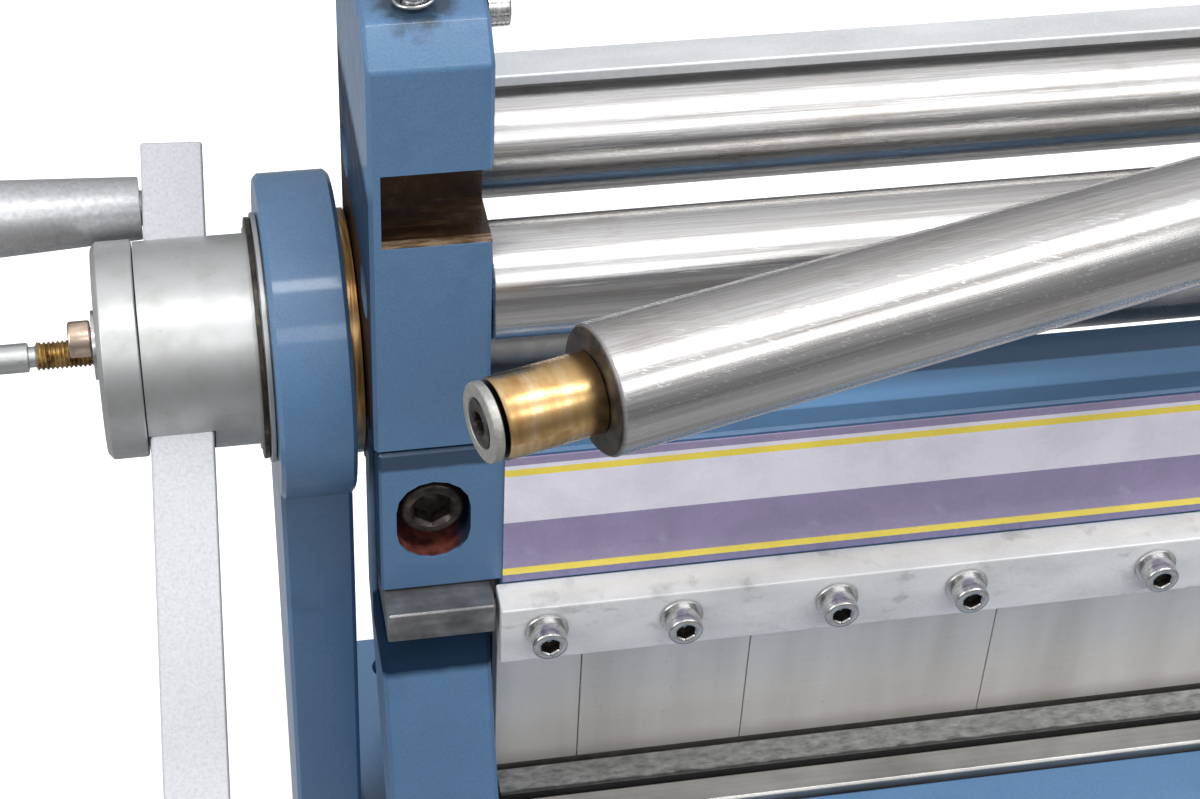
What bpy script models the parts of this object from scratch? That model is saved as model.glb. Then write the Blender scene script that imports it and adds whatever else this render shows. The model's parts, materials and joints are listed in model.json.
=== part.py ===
"""Bench sheet metal machine with a shear, a press brake and a slip roll on one frame.

Metres, +Z up. X runs along the rolls, -Y is the front, Z = 0 is the bench top.
The top roll is released at its left end and swung out to the front, as in use.
"""

import math

import bmesh
import bpy
from mathutils import Matrix, Vector

# Datums
FACE_Y = 0.041  # front face of the roll brackets and of the ram
NOTCH_Z = 0.345  # roof of the roll notches above the bench
WORK_WIDTH = 0.3105  # between the two roll brackets
CLEAR = 0.0003  # gap between pieces that touch
RUNNING = 0.00035  # gap round a turning piece

# Roll brackets
BRACKET_WIDTH = 0.031
BRACKET_DEPTH = 0.073
BRACKET_TOP = 0.0387  # above the notch roof
BRACKET_DROP = 0.091  # bottom face below the notch roof
BRACKET_CHAMFER = 0.0087
EAR_DROP = 0.118  # lower edge of the shaft bearing below the notch roof
EAR_FRONT = 0.0272
NOTCH_HEIGHT = 0.0225
NOTCH_DEPTH = 0.0193
NOTCH_WALL = 0.003  # left over outside the notch

# Rolls
ROLL_DIAMETER = 0.0315
LOWER_ROLL_BACK = 0.017  # axis behind the front face
LOWER_ROLL_DROP = 0.0483  # axis below the notch roof
REAR_ROLL_BACK = 0.060
REAR_ROLL_DROP = 0.0343
TOP_ROLL_BACK = 0.0096
TOP_ROLL_DROP = 0.0105
JOURNAL_DIAMETER = 0.014
ROLL_END_GAP = 0.0005

# Top roll and its swivel
SWING_ANGLE = math.radians(14.9)
PIVOT_INSET = 0.0205  # swivel axis inside the bracket's outer face
SHOULDER_GAP = 0.004  # roll body to the bracket at the swivel end
TOP_BUSH_DIAMETER = 0.0195
TOP_BUSH_LENGTH = 0.0240
END_GROOVE = 0.0008
END_GROOVE_DEPTH = 0.0025
END_SCREW_DIAMETER = 0.008
END_WASHER_LENGTH = 0.0026
SWIVEL_DIAMETER = 0.0186
TOP_JOURNAL_DIAMETER = 0.013
TOP_JOURNAL_REACH = 0.0085  # past the swivel axis
TRUNNION_DIAMETER = 0.008
TRUNNION_LENGTH = 0.006

# Ram with its end blocks
RAM_DEPTH = 0.030
RAM_TOP_DROP = 0.095
RAM_FACE_END_DROP = 0.1572
BLOCK_TOP_DROP = 0.0913
BLOCK_BOTTOM_DROP = 0.143
BLOCK_DEPTH = 0.0142
BLOCK_WIDTH = 0.0345
SLOT_WIDTH = 0.0204
SLOT_HEIGHT = 0.0288
SLOT_INSET = 0.0158
SLOT_DROP = 0.1171
LIP_BOTTOM_DROP = 0.168
WEB_BOTTOM_DROP = 0.205
WEB_BACK = 0.0324
WEB_INSET = 0.012
PAD_FRONT = 0.0096
PAD_HEIGHT = 0.0106
LABEL_THICKNESS = 0.0005
LABEL_MARGIN = 0.0006

# Press brake
FINGER_UNITS = (1, 2, 3, 6)  # widths of the fingers, as multiples of the narrowest
FINGER_SIDE_GAP = 0.00285  # from the outer fingers to the brackets
FINGER_GAP = 0.0003
FINGER_THICKNESS = 0.008
FINGER_DIP = 0.0014  # how far the noses reach into the die's groove
FINGER_NOSE = 0.0012
FINGER_NOSE_HEIGHT = 0.017
BAR_DEPTH = 0.0114
BAR_TOP_DROP = 0.1438
BAR_HEIGHT = 0.0211
BAR_CHAMFER = 0.0008
CLAMP_SCREW_DROP = 0.1524
CLAMP_SCREW_SHARES = (0.0400, 0.1673, 0.3169, 0.4442, 0.6339, 0.8681)  # of the fingers' full width
SCREW_HEAD_DIAMETER = 0.010
SCREW_HEAD_HEIGHT = 0.006
SCREW_DIAMETER = 0.006
WASHER_DIAMETER = 0.0125
WASHER_THICKNESS = 0.001

# Table with its dies
TABLE_FRONT = 0.062
TABLE_BACK = 0.024
TABLE_TOP_DROP = 0.2235
TABLE_BOTTOM_DROP = 0.287
TABLE_BACK_TOP_DROP = 0.233
DIE_TOP_DROP = 0.221
DIE_FRONT = 0.013
DIE_BACK = 0.014
DIE_HEIGHT = 0.024
GROOVE_CENTRE = 0.0006
GROOVE_HALF_WIDTH = 0.0038
GROOVE_DEPTH = 0.007
STRIP_FRONT = 0.0245
STRIP_BACK = 0.0150
STRIP_HEIGHT = 0.012
STRIP_CHAMFER = 0.0008
BLADE_THICKNESS = 0.008
LOWER_BLADE_TOP_DROP = 0.230
LOWER_BLADE_HEIGHT = 0.032
UPPER_BLADE_BOTTOM_DROP = 0.2345
UPPER_BLADE_HEIGHT = 0.036
BLADE_SCREW_COUNT = 5

# Side frames
UPRIGHT_FRONT = 0.0146
UPRIGHT_BACK = 0.0265
UPRIGHT_TOP_DROP = 0.0946
LEG_TOP_DROP = 0.1566
LEG_TOP_FRONT = 0.004
LEG_SLOPE = 0.47  # forward run for each metre down
LEG_THICKNESS = 0.014
WEB_THICKNESS = 0.011
WEB_OFFSET = 0.010  # outer face of the web inside the frame's outer face
WEB_TOP_BACK = 0.034
WEB_FOOT_BACK = 0.098
FOOT_HEIGHT = 0.034
FOOT_FRONT = 0.100
FOOT_BACK = 0.142
FOOT_HOLE_DIAMETER = 0.011
FOOT_HOLE_INSET = 0.016
GUIDE_HEAD_DIAMETER = 0.0180
GUIDE_HEAD_LENGTH = 0.0118
GUIDE_SCREW_DIAMETER = 0.012
GUIDE_SCREW_DROP = 0.1156
TABLE_BOLT_HEAD = 0.016

# Cross shaft, eccentrics and links
ECCENTRICITY = 0.008
ECCENTRIC_ANGLE = math.radians(16.3)
HUB_BACK = 0.052  # eccentric centre behind the front face
HUB_DROP = 0.0902  # eccentric centre below the notch roof
SHAFT_DIAMETER = 0.022
DISC_DIAMETER = 0.062
FLANGE_DIAMETER = 0.069
FLANGE_THICKNESS = 0.0027
LINK_OUTSET = 0.0036  # inner face of the link outside the bracket
LINK_THICKNESS = 0.0207
SHANK_THICKNESS = 0.0203
LINK_EYE_DIAMETER = 0.0912
LINK_SHANK_WIDTH = 0.050
LINK_FOOT_DIAMETER = 0.042
LINK_PIN_HEIGHT = 0.023
LINK_PIN_DIAMETER = 0.016
LINK_PIN_PLAY = 0.0013
RING_DIAMETER = 0.070
OUTER_RING_DIAMETER = 0.0676
RING_THICKNESS = 0.0014
HUB_DIAMETER = 0.059
HUB_LENGTH = 0.0303
CAP_DIAMETER = 0.0604
CAP_THICKNESS = 0.0112

# Lever
LEVER_ANGLE = math.radians(33.0)  # below level, towards the front
LEVER_LEAN = math.radians(2.84)  # outwards, towards the front end
LEVER_SIZE = 0.0172
LEVER_CENTRE = 0.0482  # outside the bracket's outer face
LEVER_STUB = 0.057
LEVER_REACH = 0.312
HANDLE_PLACE = 0.0410  # along the stub from the hub axis
HANDLE_ROOT_DIAMETER = 0.0178
HANDLE_END_DIAMETER = 0.0265
HANDLE_LENGTH = 0.112
GRIP_DIAMETER = 0.027
GRIP_LENGTH = 0.105
LOCK_SCREW_DIAMETER = 0.008
LOCK_THREAD_END = 0.0868
LOCK_NECK_END = 0.0894
LOCK_SHANK_END = 0.122
LOCK_KNOB_DIAMETER = 0.024
LOCK_KNOB_LENGTH = 0.022
PLATE_DIAMETER = 0.0192
PLATE_THICKNESS = 0.0011

# Crank
CRANK_SHAFT_DIAMETER = 0.013
CRANK_OUTSET = 0.040  # arm outside the bracket
CRANK_THICKNESS = 0.010
CRANK_RADIUS = 0.092
CRANK_BOSS_DIAMETER = 0.030
CRANK_GRIP_DIAMETER = 0.026
CRANK_GRIP_LENGTH = 0.118

# Screws and springs on the brackets
LATCH_SCREW_INSET = 0.0137
LATCH_SCREW_BACK = 0.0160
LATCH_SPRING_DIAMETER = 0.0112
LATCH_SPRING_LENGTH = 0.015
SPRING_WIRE = 0.0012
SPRING_TURNS = 6
SPRING_START = math.radians(173)
BEND_SCREW_DIAMETER = 0.008
KNOB_DIAMETER = 0.022
KNOB_HEIGHT = 0.012
STAY_BACK = 0.0705
STAY_WIDTH = 0.012
STAY_TOP_DROP = 0.0131
STAY_THICKNESS = 0.0035
SIDE_SCREW_BACK = 0.034
SIDE_SCREW_RISE = 0.0245
SIDE_SCREW_STAND = 0.0025  # head clear of the bracket, as it is only partly turned in

# Back gauge
GAUGE_ROD_DIAMETER = 0.012
GAUGE_ROD_INSET = 0.050
GAUGE_ROD_DROP = 0.276
GAUGE_ROD_LENGTH = 0.112
GAUGE_BAR_BACK = 0.098
GAUGE_BAR_THICKNESS = 0.012
GAUGE_BAR_TOP_DROP = 0.226
GAUGE_BAR_BOTTOM_DROP = 0.290

# Worked out from the values above
INNER_X = WORK_WIDTH / 2
OUTER_X = INNER_X + BRACKET_WIDTH
ROLL_RADIUS = ROLL_DIAMETER / 2
FINGER_LEFT = FINGER_SIDE_GAP - INNER_X
FINGER_BOTTOM_DROP = DIE_TOP_DROP + FINGER_DIP
TABLE_BOLT_DROP = DIE_TOP_DROP + DIE_HEIGHT + 0.023
TABLE_BOSS_DROP = DIE_TOP_DROP + DIE_HEIGHT + 0.0045
HUB_Y = FACE_Y + HUB_BACK
HUB_Z = NOTCH_Z - HUB_DROP
SHAFT_Y = HUB_Y - ECCENTRICITY * math.cos(ECCENTRIC_ANGLE)
SHAFT_Z = HUB_Z - ECCENTRICITY * math.sin(ECCENTRIC_ANGLE)
LOWER_Y = FACE_Y + LOWER_ROLL_BACK
LOWER_Z = NOTCH_Z - LOWER_ROLL_DROP
REAR_Y = FACE_Y + REAR_ROLL_BACK
REAR_Z = NOTCH_Z - REAR_ROLL_DROP
TOP_Y = FACE_Y + TOP_ROLL_BACK
TOP_Z = NOTCH_Z - TOP_ROLL_DROP
PIVOT_X = OUTER_X - PIVOT_INSET
PIVOT = Vector((PIVOT_X, TOP_Y, TOP_Z))
LEVER_TURN = Matrix.Rotation(math.pi / 2 + LEVER_ANGLE, 4, "X") @ Matrix.Rotation(-LEVER_LEAN, 4, "Y")
LEVER_AXIS = LEVER_TURN.to_3x3() @ Vector((0, 0, 1))
LINK_TOP_OUT = LINK_OUTSET + LINK_THICKNESS
FLOOR_DROP = NOTCH_Z

# Colours: base colour, metallic, roughness
BLUE = ((0.07, 0.16, 0.33, 1), 0.0, 0.38)
STEEL = ((0.46, 0.46, 0.46, 1), 1.0, 0.28)
ZINC = ((0.62, 0.64, 0.63, 1), 0.9, 0.40)
BRASS = ((0.72, 0.47, 0.16, 1), 1.0, 0.30)
BLACK = ((0.03, 0.03, 0.03, 1), 0.6, 0.40)
IRON = ((0.24, 0.24, 0.23, 1), 0.6, 0.55)
LABEL = ((0.55, 0.52, 0.62, 1), 0.0, 0.30)
PLASTIC = ((0.02, 0.02, 0.02, 1), 0.0, 0.45)


def clear_scene():
    for old in list(bpy.data.objects):
        bpy.data.objects.remove(old, do_unlink=True)


def finish_of(name, look):
    colour, metallic, roughness = look
    material = bpy.data.materials.new(name)
    material.use_nodes = True
    shader = material.node_tree.nodes["Principled BSDF"]
    shader.inputs["Base Color"].default_value = colour
    shader.inputs["Metallic"].default_value = metallic
    shader.inputs["Roughness"].default_value = roughness
    return material


def make(name, shape, look=None, origin=(0, 0, 0), smooth=True):
    """An object from a bmesh drawn in world places, with its origin moved to the point given."""
    mesh = bpy.data.meshes.new(name)
    bmesh.ops.recalc_face_normals(shape, faces=shape.faces)
    shape.to_mesh(mesh)
    shape.free()
    mesh.transform(Matrix.Translation(-Vector(origin)))
    piece = bpy.data.objects.new(name, mesh)
    piece.location = origin
    bpy.context.scene.collection.objects.link(piece)
    if smooth:
        mesh.shade_smooth()
        mesh.set_sharp_from_angle(angle=math.radians(35))
    if look:
        mesh.materials.append(finish_of(name, look))
    return piece


def combine(piece, other, operation):
    """Cuts or joins another object, which is then kept only as a hidden guide."""
    step = piece.modifiers.new(other.name, "BOOLEAN")
    step.operation = operation
    step.solver = "EXACT"
    step.object = other
    other.hide_render = True
    other.display_type = "WIRE"


def cut(piece, *others):
    for other in others:
        combine(piece, other, "DIFFERENCE")


def join(piece, *others):
    for other in others:
        combine(piece, other, "UNION")


def round_edges(piece, width, segments=1):
    step = piece.modifiers.new("edges", "BEVEL")
    step.width = width
    step.segments = segments
    step.limit_method = "ANGLE"
    step.angle_limit = math.radians(40)
    return piece


def block(low, high):
    """A box between two corners."""
    shape = bmesh.new()
    bmesh.ops.create_cube(shape, size=1)
    low, high = Vector(low), Vector(high)
    size = Matrix.Diagonal((high - low).to_4d())
    bmesh.ops.transform(shape, matrix=Matrix.Translation((low + high) / 2) @ size, verts=shape.verts)
    return shape


def prism(outline, low, high, axis="X"):
    """An outline in the two other axes, in their order, carried from low to high along one axis."""
    place = {
        "X": lambda a, b, c: (c, a, b),
        "Y": lambda a, b, c: (a, c, b),
        "Z": lambda a, b, c: (a, b, c),
    }[axis]
    shape = bmesh.new()
    face = shape.faces.new([shape.verts.new(place(a, b, low)) for a, b in outline])
    made = bmesh.ops.extrude_face_region(shape, geom=[face])["geom"]
    moved = [item for item in made if isinstance(item, bmesh.types.BMVert)]
    bmesh.ops.translate(shape, vec=place(0, 0, high - low), verts=moved)
    return shape


def turned(profile, start, direction, segments=28):
    """A solid turned from (distance, radius) points round the line from start along direction."""
    shape = bmesh.new()
    rim = [shape.verts.new((radius, 0, along)) for along, radius in profile]
    low = shape.verts.new((0, 0, profile[0][0]))
    high = shape.verts.new((0, 0, profile[-1][0]))
    chain = [low] + rim + [high]
    edges = [shape.edges.new(pair) for pair in zip(chain, chain[1:])]
    bmesh.ops.spin(
        shape,
        geom=chain + edges,
        cent=(0, 0, 0),
        axis=(0, 0, 1),
        angle=math.tau,
        steps=segments,
        use_merge=True,
    )
    bmesh.ops.remove_doubles(shape, verts=shape.verts, dist=0.00001)
    turn = Vector(direction).to_track_quat("Z", "Y").to_matrix().to_4x4()
    bmesh.ops.transform(shape, matrix=Matrix.Translation(start) @ turn, verts=shape.verts)
    return shape


def rod(start, end, diameter, segments=24, chamfer=0.0):
    start, end = Vector(start), Vector(end)
    length = (end - start).length
    radius = diameter / 2
    if chamfer:
        profile = [
            (0, radius - chamfer),
            (chamfer, radius),
            (length - chamfer, radius),
            (length, radius - chamfer),
        ]
    else:
        profile = [(0, radius), (length, radius)]
    return turned(profile, start, end - start, segments)


def socket_screw(seat, direction, diameter, head_diameter, head_height, length, segments=24):
    """A cap screw whose head stands on seat and whose shank runs along direction."""
    direction = Vector(direction).normalized()
    head, shank = head_diameter / 2, diameter / 2
    ease = head_height * 0.08
    profile = [
        (-head_height, head - ease),
        (-head_height + ease, head),
        (0, head),
        (0, shank),
        (length, shank),
    ]
    shape = turned(profile, seat, direction, segments)
    return shape


def hexagon_hole(seat, direction, across, depth):
    """A hexagonal cutter that runs from the seat into a screw head along direction."""
    direction = Vector(direction).normalized()
    radius = across / math.sqrt(3)
    start = Vector(seat) - direction * 0.001
    return turned([(0, radius), (depth + 0.001, radius)], start, direction, 6)


def side_x(side, a, b):
    """Two distances outwards from the mid plane as an ordered pair of X places."""
    return sorted((side * a, side * b))


def side_box(side, xs, ys, drops):
    """A box given by distances outwards, distances behind the face and drops below the notch roof."""
    x_low, x_high = side_x(side, *xs)
    y_low, y_high = sorted(FACE_Y + y for y in ys)
    z_low, z_high = sorted(NOTCH_Z - drop for drop in drops)
    return block((x_low, y_low, z_low), (x_high, y_high, z_high))


def yz(points):
    """Points given behind the face and below the notch roof, as Y and Z places."""
    return [(FACE_Y + back, NOTCH_Z - drop) for back, drop in points]


def side_rod(side, xs, y, z, diameter, segments=24, chamfer=0.0):
    """A round bar along X between two distances outwards from the mid plane."""
    return rod((side * xs[0], y, z), (side * xs[1], y, z), diameter, segments, chamfer)


def bracket(side, word):
    """Casting that carries the three rolls and one end of the cross shaft."""
    outline = yz([
        (0, BRACKET_DROP),
        (0, -BRACKET_TOP + BRACKET_CHAMFER),
        (BRACKET_CHAMFER, -BRACKET_TOP),
        (BRACKET_DEPTH, -BRACKET_TOP),
        (BRACKET_DEPTH, EAR_DROP),
        (EAR_FRONT, EAR_DROP),
        (EAR_FRONT, BRACKET_DROP),
    ])
    piece = make("roll_bracket_" + word, prism(outline, *side_x(side, INNER_X, OUTER_X)), BLUE)
    round_edges(piece, 0.0011)
    through = (INNER_X - 0.002, OUTER_X + 0.002)
    notch = side_box(
        side,
        (INNER_X - 0.002, OUTER_X - NOTCH_WALL),
        (-0.002, NOTCH_DEPTH),
        (0, NOTCH_HEIGHT),
    )
    bore = JOURNAL_DIAMETER + 2 * RUNNING
    cut(
        piece,
        make("notch_" + word, notch),
        make("lower_bore_" + word, side_rod(side, through, LOWER_Y, LOWER_Z, bore, 28)),
        make("rear_bore_" + word, side_rod(side, through, REAR_Y, REAR_Z, bore, 28)),
        make(
            "shaft_bore_" + word,
            side_rod(side, through, SHAFT_Y, SHAFT_Z, SHAFT_DIAMETER + 2 * RUNNING, 28),
        ),
    )
    bend = bend_place(side)
    low = (bend.x, bend.y, REAR_Z)
    bend_bore = rod(bend + Vector((0, 0, 0.002)), low, BEND_SCREW_DIAMETER + 2 * RUNNING)
    cut(piece, make("bend_bore_" + word, bend_bore))
    if side > 0:
        reach = TRUNNION_LENGTH + CLEAR
        top = PIVOT + Vector((0, 0, TOP_ROLL_DROP + reach))
        bottom = PIVOT + Vector((0, 0, TOP_ROLL_DROP - NOTCH_HEIGHT - reach))
        cut(piece, make("trunnion_bore", rod(bottom, top, TRUNNION_DIAMETER + 2 * RUNNING)))
    else:
        latch = latch_place(side)
        low = (latch.x, latch.y, NOTCH_Z - 0.001)
        latch_bore = rod(latch + Vector((0, 0, 0.002)), low, SCREW_DIAMETER + 2 * RUNNING)
        cut(piece, make("latch_bore", latch_bore), make("oil_hole", oil_hole()))
    return piece


def oil_hole():
    """A small drilled hole in the back wall of the left notch."""
    start = Vector((-OUTER_X + 0.0155, FACE_Y + NOTCH_DEPTH - 0.002, NOTCH_Z - 0.0075))
    return rod(start, start + Vector((0, 0.008, 0)), 0.0035, 16)


def latch_place(side):
    return Vector((side * (OUTER_X - LATCH_SCREW_INSET), FACE_Y + LATCH_SCREW_BACK, NOTCH_Z + BRACKET_TOP))


def bend_place(side):
    return Vector((side * (OUTER_X - BRACKET_WIDTH / 2), REAR_Y, NOTCH_Z + BRACKET_TOP))


def ram():
    """Beam that carries the brackets, the upper blade and the fingers, with a slotted block at each end."""
    end = OUTER_X - BLOCK_WIDTH
    outline = yz([
        (0, RAM_TOP_DROP),
        (RAM_DEPTH, RAM_TOP_DROP),
        (RAM_DEPTH, LIP_BOTTOM_DROP - 0.006),
        (WEB_BACK, LIP_BOTTOM_DROP),
        (FINGER_THICKNESS + CLEAR, LIP_BOTTOM_DROP),
        (FINGER_THICKNESS + CLEAR, RAM_FACE_END_DROP),
        (0, RAM_FACE_END_DROP),
    ])
    beam = make("ram_beam", prism(outline, -end, end), BLUE)
    round_edges(beam, 0.0008)
    web = make(
        "ram_web",
        block(
            (FINGER_LEFT + WEB_INSET, FACE_Y + WEB_BACK - 0.014, NOTCH_Z - WEB_BOTTOM_DROP),
            (-FINGER_LEFT - WEB_INSET, FACE_Y + WEB_BACK, NOTCH_Z - LIP_BOTTOM_DROP + 0.002),
        ),
    )
    join(beam, web)
    for side, word in ((-1, "left"), (1, "right")):
        solid = make(
            "end_block_" + word,
            side_box(
                side,
                (end - 0.004, OUTER_X - 0.001),
                (0, BLOCK_DEPTH),
                (BLOCK_TOP_DROP, BLOCK_BOTTOM_DROP),
            ),
        )
        round_edges(solid, 0.0008)
        join(beam, solid)
        slot = make("slot_" + word, obround(side))
        cut(beam, slot)
    for x in clamp_screw_xs():
        z = NOTCH_Z - CLAMP_SCREW_DROP
        hole = rod((x, FACE_Y - 0.002, z), (x, FACE_Y + 0.018, z), SCREW_DIAMETER + 2 * CLEAR, 20)
        cut(beam, make("clamp_bore", hole))
    return beam


def obround(side):
    """Cutter for the guide slot in an end block: a straight slot with round ends."""
    x, z = side * (OUTER_X - SLOT_INSET), NOTCH_Z - SLOT_DROP
    radius = SLOT_WIDTH / 2
    half = (SLOT_HEIGHT - SLOT_WIDTH) / 2
    outline = []
    for centre, first in ((z + half, 0), (z - half, 180)):
        for step in range(9):
            angle = math.radians(first + step * 22.5)
            outline.append((x + radius * math.cos(angle), centre + radius * math.sin(angle)))
    return prism(outline, FACE_Y - 0.002, FACE_Y + BLOCK_DEPTH + 0.002, "Y")


def stop_pad(side, word):
    """Ground steel pad under each end block."""
    shape = side_box(
        side,
        (OUTER_X - 0.032, OUTER_X - 0.0016),
        (-PAD_FRONT, BLOCK_DEPTH),
        (BLOCK_BOTTOM_DROP + CLEAR, BLOCK_BOTTOM_DROP + CLEAR + PAD_HEIGHT),
    )
    round_edges(make("stop_pad_" + word, shape, IRON), 0.0006)


def name_strip():
    """Plain label plate without words on the front of the ram."""
    end = OUTER_X - BLOCK_WIDTH - LABEL_MARGIN
    low = (-end, FACE_Y - CLEAR - LABEL_THICKNESS, NOTCH_Z - BAR_TOP_DROP + LABEL_MARGIN)
    high = (end, FACE_Y - CLEAR, NOTCH_Z - RAM_TOP_DROP - 2 * LABEL_MARGIN)
    make("label_strip", block(low, high), LABEL)


def clamp_screw_xs():
    return [FINGER_LEFT * (1 - 2 * share) for share in CLAMP_SCREW_SHARES]


def press_brake():
    """Clamp bar, its screws and the four fingers."""
    top, bottom = NOTCH_Z - BAR_TOP_DROP, NOTCH_Z - BAR_TOP_DROP - BAR_HEIGHT
    bar = make(
        "clamp_bar",
        block(
            (FINGER_LEFT - 0.0007, FACE_Y - CLEAR - BAR_DEPTH, bottom),
            (-FINGER_LEFT + 0.0007, FACE_Y - CLEAR, top),
        ),
        ZINC,
    )
    round_edges(bar, BAR_CHAMFER, 2)
    z = NOTCH_Z - CLAMP_SCREW_DROP
    front = FACE_Y - CLEAR - BAR_DEPTH
    for number, x in enumerate(clamp_screw_xs(), 1):
        hole = rod((x, FACE_Y + 0.002, z), (x, front - 0.002, z), SCREW_DIAMETER + 2 * CLEAR, 20)
        cut(bar, make("bar_bore_%d" % number, hole))
        make("clamp_screw_%d" % number, flanged_screw((x, front - CLEAR, z)), ZINC)
        screw = bpy.data.objects["clamp_screw_%d" % number]
        face = front - CLEAR - WASHER_THICKNESS - SCREW_HEAD_HEIGHT
        cut(screw, make("clamp_hex_%d" % number, hexagon_hole((x, face, z), (0, 1, 0), 0.005, 0.003)))
    left = FINGER_LEFT
    unit = -2 * FINGER_LEFT / sum(FINGER_UNITS)
    for count in FINGER_UNITS:
        finger("finger_%03d_mm" % round(count * 25.4), left, count * unit)
        left += count * unit


def flanged_screw(seat):
    """A clamp screw, pointing to the rear, whose washer is one piece with its head."""
    head, shank = SCREW_HEAD_DIAMETER / 2, SCREW_DIAMETER / 2
    top = WASHER_THICKNESS + SCREW_HEAD_HEIGHT
    profile = [
        (-top, head - 0.0005),
        (-top + 0.0005, head),
        (-WASHER_THICKNESS, head),
        (-WASHER_THICKNESS, WASHER_DIAMETER / 2),
        (0, WASHER_DIAMETER / 2),
        (0, shank),
        (0.026, shank),
    ]
    return turned(profile, seat, (0, 1, 0), 20)


def turned_ring(corners, start, direction, segments=28):
    """A hollow ring turned from a closed loop of (distance, radius) corners."""
    shape = bmesh.new()
    loop = [shape.verts.new((radius, 0, along)) for along, radius in corners]
    edges = [shape.edges.new(pair) for pair in zip(loop, loop[1:] + loop[:1])]
    bmesh.ops.spin(
        shape,
        geom=loop + edges,
        cent=(0, 0, 0),
        axis=(0, 0, 1),
        angle=math.tau,
        steps=segments,
        use_merge=True,
    )
    turn = Vector(direction).to_track_quat("Z", "Y").to_matrix().to_4x4()
    bmesh.ops.transform(shape, matrix=Matrix.Translation(start) @ turn, verts=shape.verts)
    return shape


def washer(seat, direction, outer, bore, thickness, segments=20):
    """A flat washer standing on seat and growing along direction."""
    inner = bore / 2 + CLEAR
    corners = [(0, inner), (0, outer / 2), (thickness, outer / 2), (thickness, inner)]
    return turned_ring(corners, seat, direction, segments)


def finger(name, left, width):
    """One press brake finger: upright at the front, with a nose cut back at the rear."""
    top = RAM_FACE_END_DROP + CLEAR
    outline = yz([
        (0, top),
        (FINGER_THICKNESS - 0.001, top),
        (FINGER_THICKNESS, top + 0.001),
        (FINGER_THICKNESS, FINGER_BOTTOM_DROP - FINGER_NOSE_HEIGHT),
        (FINGER_NOSE, FINGER_BOTTOM_DROP),
        (0, FINGER_BOTTOM_DROP),
    ])
    shape = prism(outline, left + FINGER_GAP / 2, left + width - FINGER_GAP / 2)
    make(name, shape, STEEL, smooth=False)


def blade_screw_xs():
    step = -2 * (FINGER_LEFT + 0.03) / (BLADE_SCREW_COUNT - 1)
    return [FINGER_LEFT + 0.03 + step * index for index in range(BLADE_SCREW_COUNT)]


def upper_blade_screw_z():
    return NOTCH_Z - UPPER_BLADE_BOTTOM_DROP + UPPER_BLADE_HEIGHT - 0.009


def lower_blade_screw_z():
    return NOTCH_Z - LOWER_BLADE_TOP_DROP - LOWER_BLADE_HEIGHT / 2


def shear():
    """The moving upper blade on the ram and the fixed lower blade on the table."""
    low_front = FACE_Y + TABLE_BACK + CLEAR
    up_front = FACE_Y + WEB_BACK + CLEAR
    low_z = NOTCH_Z - LOWER_BLADE_TOP_DROP
    up_z = NOTCH_Z - UPPER_BLADE_BOTTOM_DROP
    lower = make(
        "lower_shear_blade",
        block(
            (FINGER_LEFT, low_front, low_z - LOWER_BLADE_HEIGHT),
            (-FINGER_LEFT, low_front + BLADE_THICKNESS - CLEAR, low_z),
        ),
        STEEL,
        smooth=False,
    )
    upper = make(
        "upper_shear_blade",
        block(
            (FINGER_LEFT, up_front, up_z),
            (-FINGER_LEFT, up_front + BLADE_THICKNESS, up_z + UPPER_BLADE_HEIGHT),
        ),
        STEEL,
        smooth=False,
    )
    low_back = low_front + BLADE_THICKNESS - CLEAR
    for blade, back, z in (
        (lower, low_back, lower_blade_screw_z()),
        (upper, up_front + BLADE_THICKNESS, upper_blade_screw_z()),
    ):
        for x in blade_screw_xs():
            recess = turned_ring(
                [(-0.002, 0.0048), (-0.002, 0.0056), (0.002, 0.0056), (0.002, 0.0048)],
                (x, back, z),
                (0, -1, 0),
                12,
            )
            socket = hexagon_hole((x, back, z), (0, -1, 0), 0.005, 0.003)
            cut(blade, make("blade_screw_ring", recess), make("blade_screw_hex", socket))


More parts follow.
